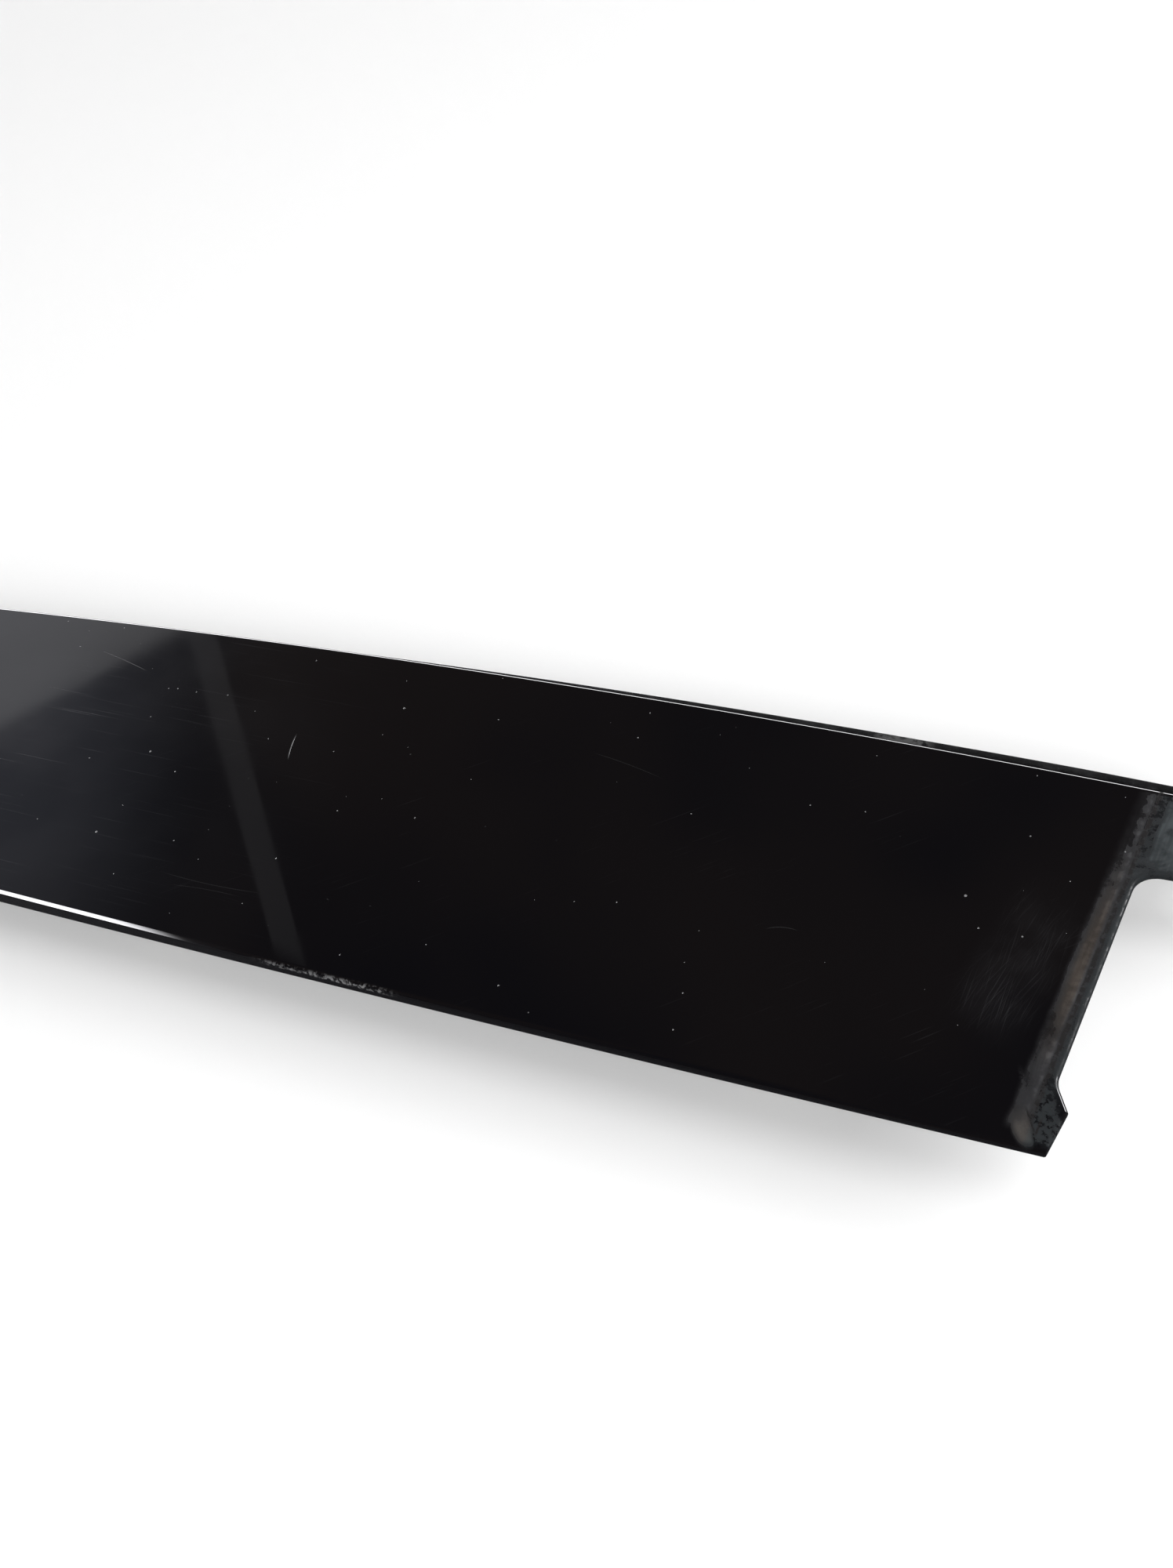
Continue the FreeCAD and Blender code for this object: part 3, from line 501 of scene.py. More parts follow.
def make_clip_nylon():
    """Natural nylon: milky, slightly see-through, with flow marks and a fine moulded skin."""
    finish = Finish("clip_nylon")
    flow = finish.noise(3.4, 3, stretch=(1, 1, 0.4), warp=1.5)
    skin = finish.noise(0.25, 2)
    grime = finish.step(finish.noise(2.2, 5, roughness=0.7), 0.56, 0.74)
    color = finish.blend(finish.step(flow, 0.3, 0.7), (0.72, 0.69, 0.60), (0.80, 0.78, 0.71))
    color = finish.blend(finish.times(grime, 0.30), color, (0.30, 0.27, 0.22))
    finish.set(Base_Color=color, Roughness=finish.step(flow, 0.3, 0.7, 0.30, 0.44),
               Subsurface_Weight=0.15)
    finish.shader.inputs["Subsurface Radius"].default_value = (1.2 * MM, 1.0 * MM, 0.7 * MM)
    finish.shader.inputs["Subsurface Scale"].default_value = 1.0
    finish.bump(skin, 0.02, 0.6)
    return finish.material


GLOSS_BLACK = make_gloss_black()
CARRIER_BLACK = make_carrier_black()
SEAL_RUBBER = make_seal_rubber()
ZINC_STEEL = make_zinc_steel()
BONDING_TAPE = make_bonding_tape()
BLOCK_FOAM = make_foam("block_foam", 0.55, (0.030, 0.030, 0.033), (0.075, 0.075, 0.080), 0.22)
GASKET_FOAM = make_foam("gasket_foam", 0.26, (0.045, 0.045, 0.048), (0.095, 0.095, 0.100), 0.07)
CLIP_NYLON = make_clip_nylon()


def give(material, *names):
    for name in names:
        slots = nodes[name].data.materials
        slots.clear()
        slots.append(material)


give(CARRIER_BLACK, "carrier_frame")
give(ZINC_STEEL, "tongue_bush")
give(BONDING_TAPE, "tape_near", "tape_middle", "tape_far")
CLIPS = [name for name in nodes if name.startswith("clip_") and "gasket" not in name]


# ------------------------------------------------------------------ the gloss shell
class Bow:
    """A bowed long edge of the plate: an arc that bulges away from the plate's middle."""

    def __init__(self, radius, apex_x, apex_y, bulge):
        self.radius = radius
        self.apex_x = apex_x
        self.apex_y = apex_y
        self.middle_y = apex_y - bulge * radius
        self.bulge = bulge

    def point(self, x, inset=0.0):
        along = x - self.apex_x
        height = math.sqrt((self.radius - inset) ** 2 - along ** 2)
        return Vector((x, self.middle_y + self.bulge * height))

    def outward(self, x):
        return (self.point(x) - Vector((self.apex_x, self.middle_y))).normalized()


NEAR_BOW = Bow(14300.0, -31.0, 0.7, -1)
FAR_BOW = Bow(3050.0, -156.0, 103.95, 1)
# corners anticlockwise from above: x, y or the bow it lies on, rounding, bow of the edge that leaves
PLATE_CORNERS = ((-440.0, NEAR_BOW, 4.0, NEAR_BOW), (0.0, NEAR_BOW, 0.6, None),
                 (3.5, 10.7, 0.6, None), (*NOTCH_FOOT, 5.0, None), (*NOTCH_HEAD, 6.5, None),
                 (50.0, 73.6, 5.0, None), (50.0, FAR_BOW, 5.0, FAR_BOW), (-418.6, FAR_BOW, 4.0, None))
RIM_ROUND = 1.2
WALL = 1.8
SKIRT_SLOPE = 0.0132
HEM = 0.15
OUTLINE_STEP = 4.0
CORNER_STEPS = 8


def left_of(direction):
    return Vector((-direction.y, direction.x))


def plate_ring(inset):
    """The plate's outline moved inwards, as (point, outward direction) pairs, always as many."""
    spots = [y.point(x) if isinstance(y, Bow) else Vector((x, y)) for x, y, _, _ in PLATE_CORNERS]
    count = len(spots)

    def heading(index, at_end):
        """Direction of the edge that leaves a corner, at its start or at its end."""
        bow = PLATE_CORNERS[index][3]
        start, end = spots[index], spots[(index + 1) % count]
        if bow is None:
            return (end - start).normalized()
        return left_of(bow.outward((end if at_end else start).x))

    rounds = []
    for index, (_, _, rounding, _) in enumerate(PLATE_CORNERS):
        arrive, leave = heading(index - 1, True), heading(index, False)
        turn = math.atan2(arrive.cross(leave), arrive.dot(leave))
        mitre = spots[index] + (left_of(arrive) + left_of(leave)) * (inset / (1 + arrive.dot(leave)))
        sign = 1 if turn > 0 else -1
        radius = max(rounding - sign * inset, 0.0)
        start = mitre - arrive * radius * math.tan(abs(turn) / 2)
        centre = start + left_of(arrive) * radius * sign
        outward = -left_of(arrive)
        arc = []
        for step in range(CORNER_STEPS + 1):
            way = outward.copy()
            way.rotate(Matrix.Rotation(turn * step / CORNER_STEPS, 2))
            arc.append((centre + way * radius * sign, way))
        rounds.append(arc)

    ring = []
    for index, arc in enumerate(rounds):
        ring += arc
        bow = PLATE_CORNERS[index][3]
        start, end = arc[-1][0], rounds[(index + 1) % count][0][0]
        gap = (spots[(index + 1) % count] - spots[index]).length
        pieces = max(1, round(gap / OUTLINE_STEP))
        for step in range(1, pieces):
            spot = start.lerp(end, step / pieces)
            ring.append((bow.point(spot.x, inset), bow.outward(spot.x)) if bow
                        else (spot, arc[-1][1]))
    return ring


def hem_depth(x):
    """Depth of the turned-down edge's lower rim below the gloss face."""
    return WALL + SKIRT_SLOPE * max(0.0, -x)


def shell_rows():
    """Rings of the shell's section, from the flat face outwards, down and back underneath.

    Each is a list of (point, normal); a normal of None takes the flat normal of the face.
    """
    rows = []
    steps = 10
    for step in range(steps + 1):
        lean = math.pi / 2 * step / steps
        ring = plate_ring(RIM_ROUND * (1 - math.sin(lean)))
        height = -RIM_ROUND * (1 - math.cos(lean))
        rows.append([(spot.to_3d() + Vector((0, 0, height)),
                      (way * math.sin(lean)).to_3d() + Vector((0, 0, math.cos(lean))))
                     for spot, way in ring])
    outline = plate_ring(0.0)
    rows.append([(Vector((*spot, HEM - hem_depth(spot.x))), way.to_3d()) for spot, way in outline])
    for inset, depth in ((HEM, hem_depth), (WALL, hem_depth), (WALL, lambda x: WALL)):
        rows.append([(Vector((*spot, -depth(edge.x))), None)
                     for (spot, _), (edge, _) in zip(plate_ring(inset), outline)])
    return rows


def make_gloss_shell():
    """The face panel as one clean shell, with its true normals round the rim."""
    spots, faces, normals = [], [], []
    known = {}

    def spot_number(place):
        key = tuple(round(value, 4) for value in place)
        if key not in known:
            known[key] = len(spots)
            spots.append(TAB_CORNER + place * MM)
        return known[key]

    def add_face(corners):
        """Add a face from (place, normal) corners, leaving out corners that coincide."""
        numbers, ways = [], []
        for place, way in corners:
            number = spot_number(place)
            if number not in numbers:
                numbers.append(number)
                ways.append(way)
        if len(numbers) < 3:
            return
        flat = (spots[numbers[1]] - spots[numbers[0]]).cross(spots[numbers[2]] - spots[numbers[0]])
        faces.append(numbers)
        normals.extend(way if way is not None else flat.normalized() for way in ways)

    rows = shell_rows()
    for upper, lower in zip(rows, rows[1:]):
        hard = any(way is None for _, way in upper + lower)
        for index in range(len(upper)):
            after = (index + 1) % len(upper)
            corners = [upper[index], lower[index], lower[after], upper[after]]
            add_face([(place, None if hard else way) for place, way in corners])

    seat_x, seat_y, seat_radius = BUSH_SEAT
    seat_steps = 48
    turns = [2 * math.pi * step / seat_steps for step in range(seat_steps)]
    for row, height, up in ((rows[0], 0.0, 1), (rows[-1], -WALL, -1)):
        outline = [place for place, _ in row]
        hole = [Vector((seat_x + seat_radius * math.cos(turn), seat_y + seat_radius * math.sin(turn),
                        height)) for turn in turns]
        every = outline + hole
        triangles = [[every[number] for number in triangle]
                     for triangle in tessellate_polygon([outline, hole])]
        # they all wind the same way, so their total area tells which way that is
        area = sum((second - first).cross(third - first).z for first, second, third in triangles)
        for corners in triangles:
            if area * up < 0:
                corners.reverse()
            add_face([(place, Vector((0, 0, up))) for place in corners])
    for turn, after in zip(turns, turns[1:] + turns[:1]):
        wall = []
        for angle, height in ((turn, 0.0), (after, 0.0), (after, -WALL), (turn, -WALL)):
            way = Vector((math.cos(angle), math.sin(angle), 0))
            wall.append((Vector((seat_x, seat_y, height)) + way * seat_radius, -way))
        add_face(wall)

    mesh = bpy.data.meshes.new("gloss_shell")
    mesh.from_pydata(spots, [], faces)
    mesh.materials.append(GLOSS_BLACK)
    for polygon in mesh.polygons:
        polygon.use_smooth = True
    mesh.normals_split_custom_set(normals)
    shell = bpy.data.objects.new("gloss_shell", mesh)
    bpy.context.scene.collection.objects.link(shell)
    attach(shell, "plate")
    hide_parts("face_panel")


make_gloss_shell()


# ------------------------------------------------------------------ pieces made by a rule
class Rule:
    """A geometry-node tree being built, with named sizes in metres."""

    def __init__(self, name, material, **sizes):
        self.tree = bpy.data.node_groups.new(name, "GeometryNodeTree")
        self.material = material
        self.tree.interface.new_socket("Geometry", in_out="OUTPUT", socket_type="NodeSocketGeometry")
        self.sizes = {}
        self.values = sizes
        for label, value in sizes.items():
            kind = "NodeSocketVector" if isinstance(value, (tuple, Vector)) else "NodeSocketFloat"
            self.sizes[label] = self.tree.interface.new_socket(label, in_out="INPUT",
                                                               socket_type=kind)
        self.inputs = self.tree.nodes.new("NodeGroupInput")

    def size(self, label):
        return self.inputs.outputs[label]

    def node(self, kind, settings=None, **feeds):
        """Add a node; feeds are its inputs, with underscores for spaces."""
        made = self.tree.nodes.new(kind)
        for key, value in (settings or {}).items():
            setattr(made, key, value)
        for name, value in feeds.items():
            wanted = name.replace("_", " ")
            socket = next(item for item in made.inputs if item.name == wanted and item.enabled)
            self.feed(socket, value)
        return made

    def feed(self, socket, value):
        if isinstance(value, bpy.types.NodeSocket):
            self.tree.links.new(value, socket)
        else:
            socket.default_value = value

    def calc(self, operation, first, second=0.0):
        made = self.tree.nodes.new("ShaderNodeMath")
        made.operation = operation
        self.feed(made.inputs[0], first)
        self.feed(made.inputs[1], second)
        return made.outputs[0]

    def vector(self, x=0.0, y=0.0, z=0.0):
        return self.node("ShaderNodeCombineXYZ", X=x, Y=y, Z=z).outputs[0]

    def join(self, *parts):
        made = self.tree.nodes.new("GeometryNodeJoinGeometry")
        for part in parts:
            self.tree.links.new(part, made.inputs[0])
        return made.outputs[0]

    def moved(self, geometry, offset, turn=(0, 0, 0)):
        return self.node("GeometryNodeTransform", Geometry=geometry, Translation=offset,
                         Rotation=turn).outputs[0]

    def piece(self, name, **overrides):
        """Run the tree with its sizes and keep the result as a plain mesh."""
        holder = bpy.data.objects.new(f"{name}_rule", bpy.data.meshes.new(f"{name}_rule"))
        bpy.context.scene.collection.objects.link(holder)
        modifier = holder.modifiers.new("rule", "NODES")
        modifier.node_group = self.tree
        for label, value in {**self.values, **overrides}.items():
            modifier[self.sizes[label].identifier] = value
        bpy.context.view_layer.update()
        graph = bpy.context.evaluated_depsgraph_get()
        mesh = bpy.data.meshes.new_from_object(holder.evaluated_get(graph))
        bpy.data.objects.remove(holder)
        return shown(name, mesh)

    def finish(self, geometry, smooth_angle=math.radians(35)):
        welded = self.node("GeometryNodeMergeByDistance", Geometry=geometry, Distance=1e-6)
        angle = self.node("GeometryNodeInputMeshEdgeAngle").outputs["Unsigned Angle"]
        soft = self.node("FunctionNodeCompare", {"operation": "LESS_THAN"})
        self.feed(soft.inputs[0], angle)
        self.feed(soft.inputs[1], smooth_angle)
        smooth_edges = self.node("GeometryNodeSetShadeSmooth", {"domain": "EDGE"},
                                 Geometry=welded.outputs[0], Shade_Smooth=soft.outputs[0])
        smooth = self.node("GeometryNodeSetShadeSmooth", {"domain": "FACE"},
                           Geometry=smooth_edges.outputs[0], Shade_Smooth=True)
        real = self.node("GeometryNodeRealizeInstances", Geometry=smooth.outputs[0])
        coated = self.node("GeometryNodeSetMaterial", Geometry=real.outputs[0],
                           Material=self.material)
        out = self.tree.nodes.new("NodeGroupOutput")
        self.tree.links.new(coated.outputs[0], out.inputs[0])


def shown(name, mesh):
    """Put a finished mesh in the scene as a piece, with its faces outwards."""
    tidy = bmesh.new()
    tidy.from_mesh(mesh)
    bmesh.ops.recalc_face_normals(tidy, faces=tidy.faces)
    tidy.to_mesh(mesh)
    tidy.free()
    piece = bpy.data.objects.new(name, mesh)
    bpy.context.scene.collection.objects.link(piece)
    return piece


def make_seal_rule():
    """The door seal: a rounded rubber channel and a thin lip, swept along the bowed far edge."""
    rule = Rule("door_seal", SEAL_RUBBER, start=-0.412, end=0.044, apex_x=FAR_BOW.apex_x * MM,
                apex_y=FAR_BOW.apex_y * MM, radius=FAR_BOW.radius * MM, middle_out=0.00185,
                middle_down=-0.00285, slope=SKIRT_SLOPE, width=0.0027, height=0.0033,
                rounding=0.0006, lip=0.0003)
    steps = 160
    line = rule.node("GeometryNodeMeshLine", {"mode": "OFFSET", "count_mode": "TOTAL"},
                     Count=steps)
    curve = rule.node("GeometryNodeMeshToCurve", Mesh=line.outputs[0]).outputs[0]
    factor = rule.node("GeometryNodeSplineParameter").outputs["Factor"]
    span = rule.calc("SUBTRACT", rule.size("end"), rule.size("start"))
    along = rule.calc("ADD", rule.size("start"), rule.calc("MULTIPLY", factor, span))
    aside = rule.calc("SUBTRACT", along, rule.size("apex_x"))
    reach = rule.calc("ADD", rule.size("radius"), rule.size("middle_out"))
    height = rule.calc("SUBTRACT", rule.calc("MULTIPLY", reach, reach),
                       rule.calc("MULTIPLY", aside, aside))
    centre = rule.calc("SUBTRACT", rule.size("apex_y"), rule.size("radius"))
    across = rule.calc("ADD", centre, rule.calc("SQRT", height))
    before_tab = rule.calc("MINIMUM", along, 0.0)
    down = rule.calc("ADD", rule.size("middle_down"),
                     rule.calc("MULTIPLY", before_tab, rule.size("slope")))
    place = rule.node("ShaderNodeVectorMath", {"operation": "ADD"})
    rule.feed(place.inputs[0], rule.vector(along, across, down))
    rule.feed(place.inputs[1], tuple(TAB_CORNER))
    path = rule.node("GeometryNodeSetPosition", Geometry=curve, Position=place.outputs[0])
    upright = rule.node("GeometryNodeSetCurveNormal", {"mode": "Z_UP"}, Curve=path.outputs[0])

    channel = rule.node("GeometryNodeCurvePrimitiveQuadrilateral", Width=rule.size("width"),
                        Height=rule.size("height"))
    rounded = rule.node("GeometryNodeFilletCurve", {"mode": "POLY"}, Curve=channel.outputs[0],
                        Count=5, Radius=rule.size("rounding"))
    body = rule.node("GeometryNodeCurveToMesh", Curve=upright.outputs[0],
                     Profile_Curve=rounded.outputs[0], Fill_Caps=True)
    bead = rule.node("GeometryNodeCurvePrimitiveCircle", Resolution=10, Radius=rule.size("lip"))
    bead_out = rule.calc("SUBTRACT", rule.calc("MULTIPLY", rule.size("width"), 0.5), rule.size("lip"))
    bead_up = rule.calc("SUBTRACT", rule.calc("MULTIPLY", rule.size("height"), 0.5), rule.size("lip"))
    beads = []
    for side in (1, -1):
        spot = rule.vector(rule.calc("MULTIPLY", bead_out, side), bead_up)
        placed = rule.moved(bead.outputs[0], spot)
        beads.append(rule.node("GeometryNodeCurveToMesh", Curve=upright.outputs[0],
                               Profile_Curve=placed, Fill_Caps=True).outputs[0])
    rule.finish(rule.join(body.outputs[0], *beads))
    return rule


def make_clip_rule():
    """A push-in retainer: keyed head, neck, dished collar and a stud with split, springy fins."""
    rule = Rule("push_in_clip", CLIP_NYLON, place=(0.0, 0.0, 0.0), head_length=0.012,
                head_width=0.010, head_thickness=0.0014, head_rounding=0.0022, neck_radius=0.0025,
                collar_radius=0.008, collar_thickness=0.0012, collar_rounding=0.0003,
                stud_radius=0.0027, stud_length=0.012, rib_thickness=0.0011, fin_radius=0.0044,
                fin_pitch=0.0026, fin_height=0.0017, fin_first=0.0027, fin_edge=0.0003,
                fin_root=0.0006, tip_radius=0.0012, tip_height=0.0019)
    size = rule.size
    half_collar = rule.calc("MULTIPLY", size("collar_thickness"), 0.5)
    # the tower's floor is gripped between head and collar, with a little play
    floor_play, floor = 0.0001, 0.0020

    # the head is a rounded plate above the tower floor
    outline = rule.node("GeometryNodeCurvePrimitiveQuadrilateral", Width=size("head_length"),
                        Height=size("head_width"))
    rounded = rule.node("GeometryNodeFilletCurve", {"mode": "POLY"}, Curve=outline.outputs[0],
                        Count=6, Radius=size("head_rounding"))
    filled = rule.node("GeometryNodeFillCurve", {"mode": "NGONS"}, Curve=rounded.outputs[0])
    solid = rule.node("GeometryNodeExtrudeMesh", {"mode": "FACES"}, Mesh=filled.outputs[0],
                      Offset_Scale=size("head_thickness"), Individual=False)
    back = rule.node("GeometryNodeFlipFaces", Mesh=filled.outputs[0])
    head = rule.moved(rule.join(solid.outputs[0], back.outputs[0]),
                      rule.vector(z=floor + floor_play))

    def round_bar(radius, length, middle, sides=32):
        bar = rule.node("GeometryNodeMeshCylinder", Vertices=sides, Radius=radius, Depth=length)
        return rule.moved(bar.outputs[0], rule.vector(z=middle))

    neck_length = floor + 4 * floor_play
    neck = round_bar(size("neck_radius"), neck_length, floor * 0.5)
    collar_top = -floor_play

    # the collar is a flat washer section with rounded rims, swept round a circle
    ring_middle = rule.calc("MULTIPLY", size("collar_radius"), 0.55)
    ring_width = rule.calc("MULTIPLY", size("collar_radius"), 0.90)
    ring_path = rule.node("GeometryNodeCurvePrimitiveCircle", Resolution=48, Radius=ring_middle)
    section = rule.node("GeometryNodeCurvePrimitiveQuadrilateral", Width=ring_width,
                        Height=size("collar_thickness"))
    soft_section = rule.node("GeometryNodeFilletCurve", {"mode": "POLY"},
                             Curve=section.outputs[0], Count=3, Radius=size("collar_rounding"))
    ring = rule.node("GeometryNodeCurveToMesh", Curve=ring_path.outputs[0],
                     Profile_Curve=soft_section.outputs[0])
    collar_middle = rule.calc("SUBTRACT", collar_top, half_collar)
    collar = rule.moved(ring.outputs[0], rule.vector(z=collar_middle))

    collar_base = rule.calc("SUBTRACT", collar_top, size("collar_thickness"))
    shaft_length = rule.calc("SUBTRACT", size("stud_length"), size("tip_height"))
    shaft_middle = rule.calc("SUBTRACT", collar_base, rule.calc("MULTIPLY", shaft_length, 0.5))
    tip_middle = rule.calc("SUBTRACT", rule.calc("SUBTRACT", collar_base, shaft_length),
                           size("tip_height"))
    cone = rule.node("GeometryNodeMeshCone", Vertices=32, Radius_Top=size("stud_radius"),
                     Radius_Bottom=size("tip_radius"), Depth=size("tip_height"))
    tip = rule.moved(cone.outputs[0], rule.vector(z=tip_middle))
    core_radius = rule.calc("MULTIPLY", size("stud_radius"), 0.86)
    core = round_bar(core_radius, rule.calc("ADD", shaft_length, size("collar_thickness")),
                     rule.calc("ADD", shaft_middle, half_collar))

    # four ribs down the shaft, and three tiers of fins that are split between the ribs
    rib = rule.node("GeometryNodeMeshCube", Size=rule.vector(
        rule.calc("MULTIPLY", size("stud_radius"), 1.94), size("rib_thickness"), shaft_length))
    ribs = [rule.moved(rib.outputs[0], rule.vector(z=shaft_middle), (0, 0, turn))
            for turn in (0, math.pi / 2)]

    fin_sweep = math.radians(68)
    arc = rule.node("GeometryNodeCurveArc", {"mode": "RADIUS"}, Resolution=12,
                    Radius=size("stud_radius"), Start_Angle=-fin_sweep / 2,
                    Sweep_Angle=fin_sweep)
    fin_reach = rule.calc("SUBTRACT", size("fin_radius"), size("stud_radius"))
    fin_root, fin_drop, fin_edge = [rule.calc("MULTIPLY", size(label), -1.0)
                                    for label in ("fin_root", "fin_height", "fin_edge")]
    corner = rule.node("GeometryNodeCurvePrimitiveQuadrilateral", {"mode": "POINTS"},
                       Point_1=rule.vector(fin_root, 0.0), Point_2=rule.vector(fin_reach, 0.0),
                       Point_3=rule.vector(fin_reach, fin_edge),
                       Point_4=rule.vector(fin_root, fin_drop))
    fin = rule.node("GeometryNodeCurveToMesh", Curve=arc.outputs["Curve"],
                    Profile_Curve=corner.outputs[0], Fill_Caps=True)
    tiers = rule.node("GeometryNodeMeshLine", {"mode": "OFFSET", "count_mode": "TOTAL"}, Count=3,
                      Start_Location=rule.vector(z=rule.calc("SUBTRACT", collar_base,
                                                             size("fin_first"))),
                      Offset=rule.vector(z=rule.calc("MULTIPLY", size("fin_pitch"), -1.0)))
    fins = []
    for turn in range(4):
        angle = math.radians(45 + 90 * turn)
        made = rule.node("GeometryNodeInstanceOnPoints", Points=tiers.outputs[0],
                         Instance=fin.outputs[0], Rotation=(0, 0, angle))
        fins.append(made.outputs[0])
    real_fins = rule.node("GeometryNodeRealizeInstances", Geometry=rule.join(*fins))

    whole = rule.join(head, neck, collar, core, tip, *ribs, real_fins.outputs[0])
    rule.finish(rule.moved(whole, size("place")))
    return rule


seal_rule = make_seal_rule()
door_seal = seal_rule.piece("door_seal")
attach(door_seal, "plate")
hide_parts("seal_lip")

clip_rule = make_clip_rule()
TOWER_FLOOR_DEPTH = 12 * MM
for clip_name in CLIPS:
    low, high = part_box(clip_name)
    spot = Vector(((low.x + high.x) / 2, (low.y + high.y) / 2, TAB_CORNER.z - TOWER_FLOOR_DEPTH))
    retainer = clip_rule.piece(f"{clip_name}_retainer", place=tuple(spot))
    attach(retainer, f"{clip_name}_unit")
    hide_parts(clip_name)


# ------------------------------------------------------------------ soft pieces
def soft_copy(node_name, material, voxel, rounds, dent, seed):
    """A die-cut foam piece: the CAD block with softened corners and uneven, slightly sunk sides."""
    low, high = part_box(node_name)
    source = nodes[node_name].data.copy()
    weld = bmesh.new()
    weld.from_mesh(source)
    bmesh.ops.remove_doubles(weld, verts=weld.verts, dist=1e-6)
    weld.to_mesh(source)
    weld.free()
    holder = bpy.data.objects.new(f"{node_name}_source", source)
    bpy.context.scene.collection.objects.link(holder)
    remesh = holder.modifiers.new("cells", "REMESH")
    remesh.mode = "VOXEL"
    remesh.voxel_size = voxel
    soften = holder.modifiers.new("soften", "SMOOTH")
    soften.factor = 0.5
    soften.iterations = rounds
    bpy.context.view_layer.update()
    graph = bpy.context.evaluated_depsgraph_get()
    mesh = bpy.data.meshes.new_from_object(holder.evaluated_get(graph))
    bpy.data.objects.remove(holder)
    mesh.materials.clear()
    mesh.materials.append(material)
    offset = Vector((seed * 0.37, seed * 0.61, seed * 0.13))
    for vertex in mesh.vertices:
        broad = noise.noise(vertex.co * 160 + offset)
        fine = noise.noise(vertex.co * 900 + offset)
        push = dent * (0.5 + 0.5 * (0.65 * broad + 0.35 * fine))
        moved = vertex.co - vertex.normal * push
        vertex.co = Vector([min(max(value, bottom), top)
                            for value, bottom, top in zip(moved, low, high)])
    for polygon in mesh.polygons:
        polygon.use_smooth = True
    return shown(f"{node_name}_foam", mesh)


def add_pad(node_name, body, material, voxel, rounds, dent, seed):
    pad = soft_copy(node_name, material, voxel, rounds, dent, seed)
    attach(pad, body)
    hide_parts(node_name)


for index, block in enumerate(("upper_foam_block", "lower_foam_block", "tongue_pad")):
    add_pad(block, "plate", BLOCK_FOAM, 0.7 * MM, 4, 0.35 * MM, index + 1)
for index, clip_name in enumerate(CLIPS, start=1):
    number = clip_name.rsplit("_", 1)[1]
    add_pad(f"clip_gasket_{number}", f"{clip_name}_unit", GASKET_FOAM,
            0.32 * MM, 2, 0.06 * MM, index + 10)


# ------------------------------------------------------------------ floor, light and camera
PALE = 0.93


def ray_share(tree, ray):
    """The light path output that is one for the given kind of ray."""
    return tree.nodes.new("ShaderNodeLightPath").outputs[ray]


def make_floor():
    """A pale paper floor, dark as the gloss sees it, which runs evenly lit into the background."""
    mesh = bpy.data.meshes.new("studio_floor")
    reach = 12.0
    mesh.from_pydata([(-reach, -reach, 0), (reach, -reach, 0), (reach, reach, 0), (-reach, reach, 0)],
                     [], [(0, 1, 2, 3)])
    floor = bpy.data.objects.new("studio_floor", mesh)
    bpy.context.scene.collection.objects.link(floor)
    paper = Finish("floor_paper", roughness=0.95)
    tone = paper.blend(ray_share(paper.tree, "Is Glossy Ray"), (0.86, 0.86, 0.86),
                       (0.05, 0.05, 0.055))
    away = paper.node("ShaderNodeVectorMath", operation="LENGTH")
    paper.feed(away.inputs[0], paper.millimetres())
    far = paper.step(away.outputs["Value"], 700, 2400)
    even = paper.times(far, ray_share(paper.tree, "Is Camera Ray"), PALE)
    paper.set(Base_Color=paper.blend(far, tone, (0.05, 0.05, 0.05)), Emission_Color=(1.0, 1.0, 1.0),
              Emission_Strength=even)
    paper.shader.inputs["Specular IOR Level"].default_value = 0.1
    mesh.materials.append(paper.material)


def toward(azimuth, elevation):
    """A unit direction from two angles in degrees, azimuth counted from +x towards +y."""
    turn, lift = math.radians(azimuth), math.radians(elevation)
    return Vector((math.cos(lift) * math.cos(turn), math.cos(lift) * math.sin(turn),
                   math.sin(lift)))


def area_light(name, place, size, power):
    """A soft panel aimed at the plate, which doesn't show in its gloss."""
    data = bpy.data.lights.new(name, "AREA")
    data.shape = "RECTANGLE"
    data.size, data.size_y = size
    data.energy = power
    light = bpy.data.objects.new(name, data)
    light.visible_glossy = False
    look = (-place).to_track_quat("-Z", "Y").to_matrix().to_4x4()
    light.matrix_world = Matrix.Translation(place) @ look
    bpy.context.scene.collection.objects.link(light)
    return light


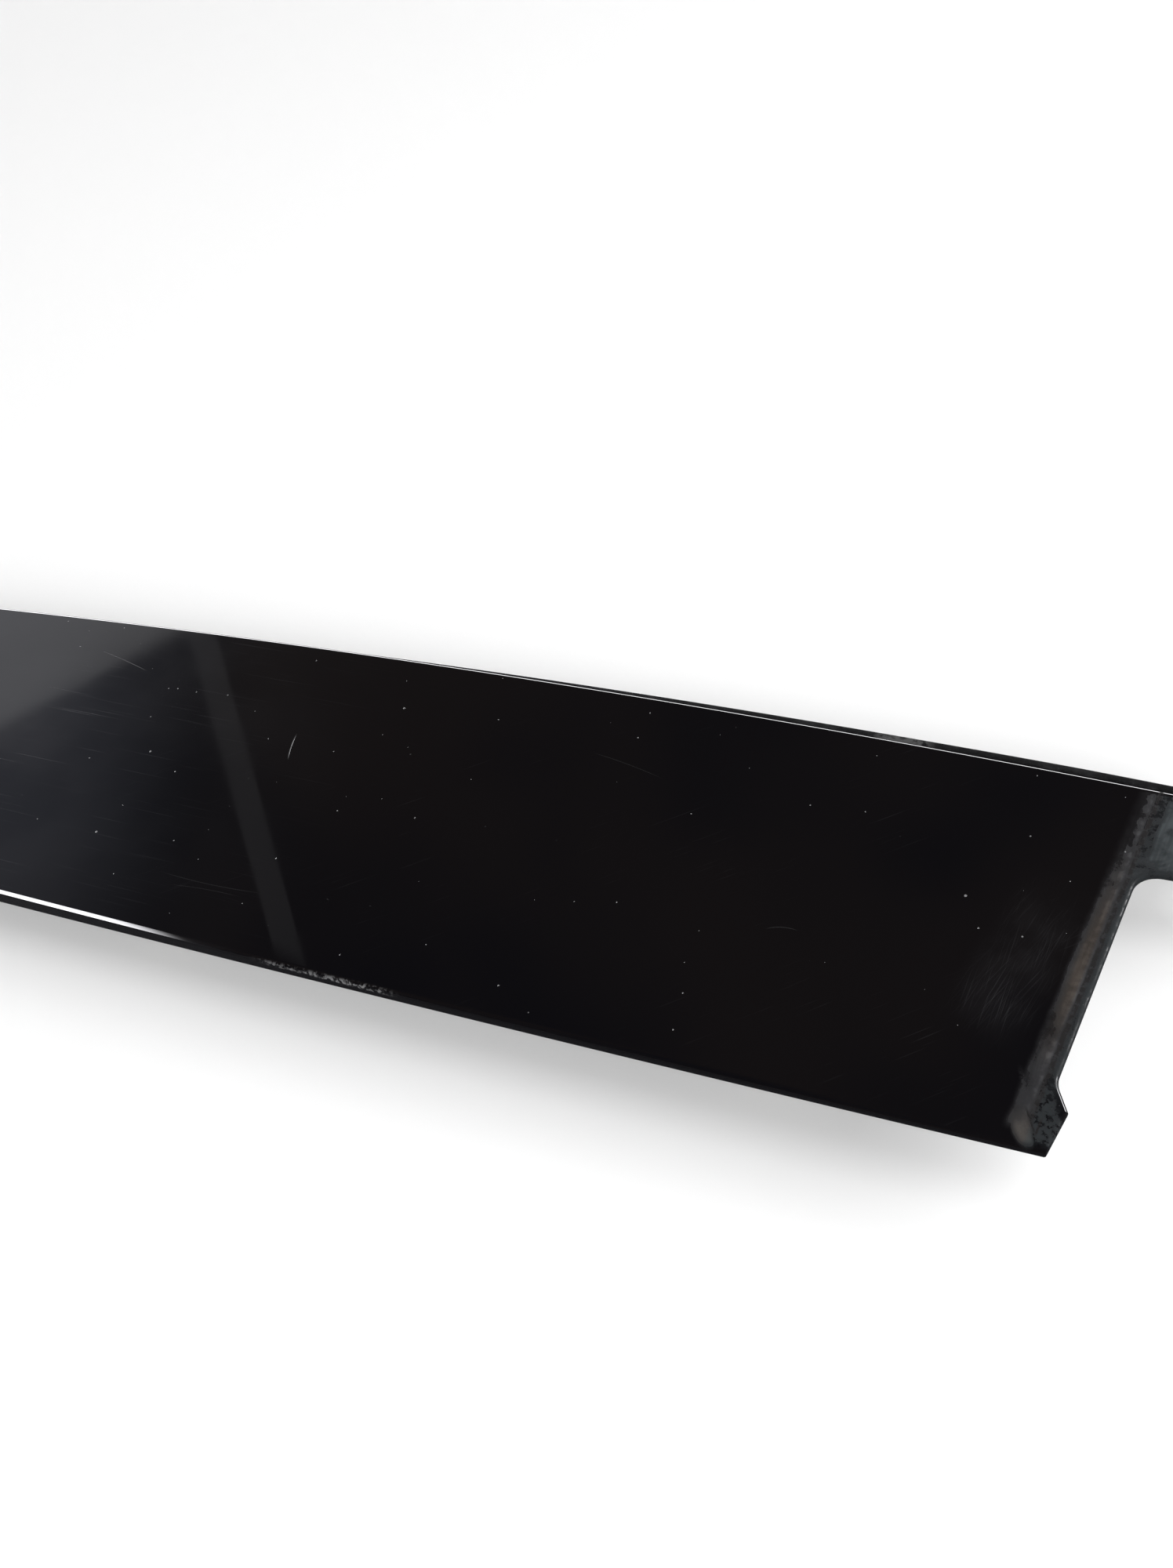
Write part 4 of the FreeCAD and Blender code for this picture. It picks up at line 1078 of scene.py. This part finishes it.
class Room:
    """The world being built: what each direction around the plate looks like in its gloss."""

    def __init__(self):
        world = bpy.data.worlds.new("studio")
        world.use_nodes = True
        bpy.context.scene.world = world
        self.tree = world.node_tree
        self.direction = self.node("ShaderNodeTexCoord").outputs["Generated"]
        split = self.node("ShaderNodeSeparateXYZ")
        self.tree.links.new(self.direction, split.inputs[0])
        self.x, self.y, self.z = split.outputs

    def node(self, kind, **settings):
        made = self.tree.nodes.new(kind)
        for key, value in settings.items():
            setattr(made, key, value)
        return made

    def feed(self, socket, value):
        if isinstance(value, bpy.types.NodeSocket):
            self.tree.links.new(value, socket)
        else:
            socket.default_value = value

    def step(self, value, low, high):
        """Rises smoothly from 0 at low to 1 at high; high may be the smaller one."""
        made = self.node("ShaderNodeMapRange", interpolation_type="SMOOTHSTEP")
        self.feed(made.inputs["Value"], value)
        self.feed(made.inputs["From Min"], min(low, high))
        self.feed(made.inputs["From Max"], max(low, high))
        self.feed(made.inputs["To Min"], 1.0 if low > high else 0.0)
        self.feed(made.inputs["To Max"], 0.0 if low > high else 1.0)
        return made.outputs["Result"]

    def times(self, *factors):
        product = factors[0]
        for factor in factors[1:]:
            made = self.node("ShaderNodeMath", operation="MULTIPLY")
            self.feed(made.inputs[0], product)
            self.feed(made.inputs[1], factor)
            product = made.outputs[0]
        return product

    def calc(self, operation, first, second=0.0):
        made = self.node("ShaderNodeMath", operation=operation)
        self.feed(made.inputs[0], first)
        self.feed(made.inputs[1], second)
        return made.outputs[0]

    def facing(self, axis):
        """How far a direction leans towards an axis: the cosine of the angle between them."""
        made = self.node("ShaderNodeVectorMath", operation="DOT_PRODUCT")
        self.feed(made.inputs[0], self.direction)
        self.feed(made.inputs[1], axis)
        return made.outputs["Value"]

    def add(self, base, share, color):
        """Add a glow of a colour, as strong as share says, to what is there already."""
        scaled = self.node("ShaderNodeVectorMath", operation="SCALE")
        self.feed(scaled.inputs[0], color)
        self.feed(scaled.inputs["Scale"], share)
        made = self.node("ShaderNodeVectorMath", operation="ADD")
        self.feed(made.inputs[0], base)
        self.feed(made.inputs[1], scaled.outputs[0])
        return made.outputs[0]


# sides of the planes that bound the lit wall and run through the post
LIT_WALL_SIDE = (-0.507, 0.344, -0.791)
POST_SIDE = (0.7592, 0.6332, 0.1506)


def make_world():
    """A plain pale room, which the gloss sees as dim, with a window, a low glow, a wall and a post."""
    room = Room()
    cloud = room.node("ShaderNodeTexNoise")
    cloud.inputs["Scale"].default_value = 3.2
    cloud.inputs["Detail"].default_value = 2.0
    room.feed(cloud.inputs["Vector"], room.direction)
    tint = room.node("ShaderNodeMix", data_type="RGBA")
    room.feed(tint.inputs["Factor"], room.step(cloud.outputs["Fac"], 0.35, 0.65))
    tint.inputs["A"].default_value = (0.020, 0.022, 0.034, 1)
    tint.inputs["B"].default_value = (0.085, 0.066, 0.060, 1)
    glow_low_behind = room.times(room.step(room.z, 0.40, 0.32), room.step(room.z, 0.02, 0.12),
                                 room.step(room.y, 0.15, 0.45))
    seen = room.add(tint.outputs["Result"], glow_low_behind, (14.0, 14.0, 14.2))
    window = room.times(room.step(room.x, -0.555, -0.61), room.step(room.y, 0.10, -0.05))
    seen = room.add(seen, window, (26.0, 26.0, 27.0))
    lit_wall = room.step(room.facing(LIT_WALL_SIDE), 0.0088, 0.0108)
    seen = room.add(seen, lit_wall, (0.72, 0.715, 0.72))
    post = room.times(room.step(room.calc("ABSOLUTE", room.facing(POST_SIDE)), 0.0115, 0.0095),
                      room.step(room.y, 0.370, 0.388), room.step(room.y, 0.556, 0.546))
    seen = room.add(seen, post, (0.15, 0.15, 0.155))
    far_corner = room.times(room.step(room.x, -0.55, -0.68), room.step(room.y, 0.1, 0.3))
    seen = room.add(seen, far_corner, (0.22, 0.24, 0.30))

    def choose(ray, yes, no):
        made = room.node("ShaderNodeMix", data_type="RGBA")
        room.feed(made.inputs["Factor"], ray_share(room.tree, ray))
        room.feed(made.inputs["A"], no)
        room.feed(made.inputs["B"], yes)
        return made.outputs["Result"]

    for_light = choose("Is Glossy Ray", seen, (0.42, 0.42, 0.42, 1))
    background = room.tree.nodes["Background"]
    room.feed(background.inputs["Color"], choose("Is Camera Ray", (PALE, PALE, PALE, 1), for_light))


CAMERA_PLACE = TAB_CORNER + Vector((-0.03277, -0.10604, 0.23059))
CAMERA_AIM = TAB_CORNER + Vector((-0.11744, 0.07029, 0.0))
CAMERA_ROLL = math.radians(-10.0)
LENS_MM = 27.0


def make_camera():
    data = bpy.data.cameras.new("camera")
    data.sensor_width = 36.0
    data.lens = LENS_MM
    data.clip_start = 0.01
    camera = bpy.data.objects.new("camera", data)
    look = (CAMERA_AIM - CAMERA_PLACE).to_track_quat("-Z", "Y").to_matrix().to_4x4()
    camera.matrix_world = (Matrix.Translation(CAMERA_PLACE) @ look
                           @ Matrix.Rotation(CAMERA_ROLL, 4, "Z"))
    bpy.context.scene.collection.objects.link(camera)
    bpy.context.scene.camera = camera


def make_lights():
    area_light("front_key", toward(-50, 36) * 3.2, (1.8, 1.8), 78)
    area_light("side_fill", toward(29, 39) * 3.2, (1.9, 1.9), 40)
    area_light("overhead_fill", toward(0, 72) * 3.0, (1.2, 1.2), 20)


make_floor()
make_world()
make_lights()
make_camera()
bpy.context.scene.view_settings.view_transform = "Standard"
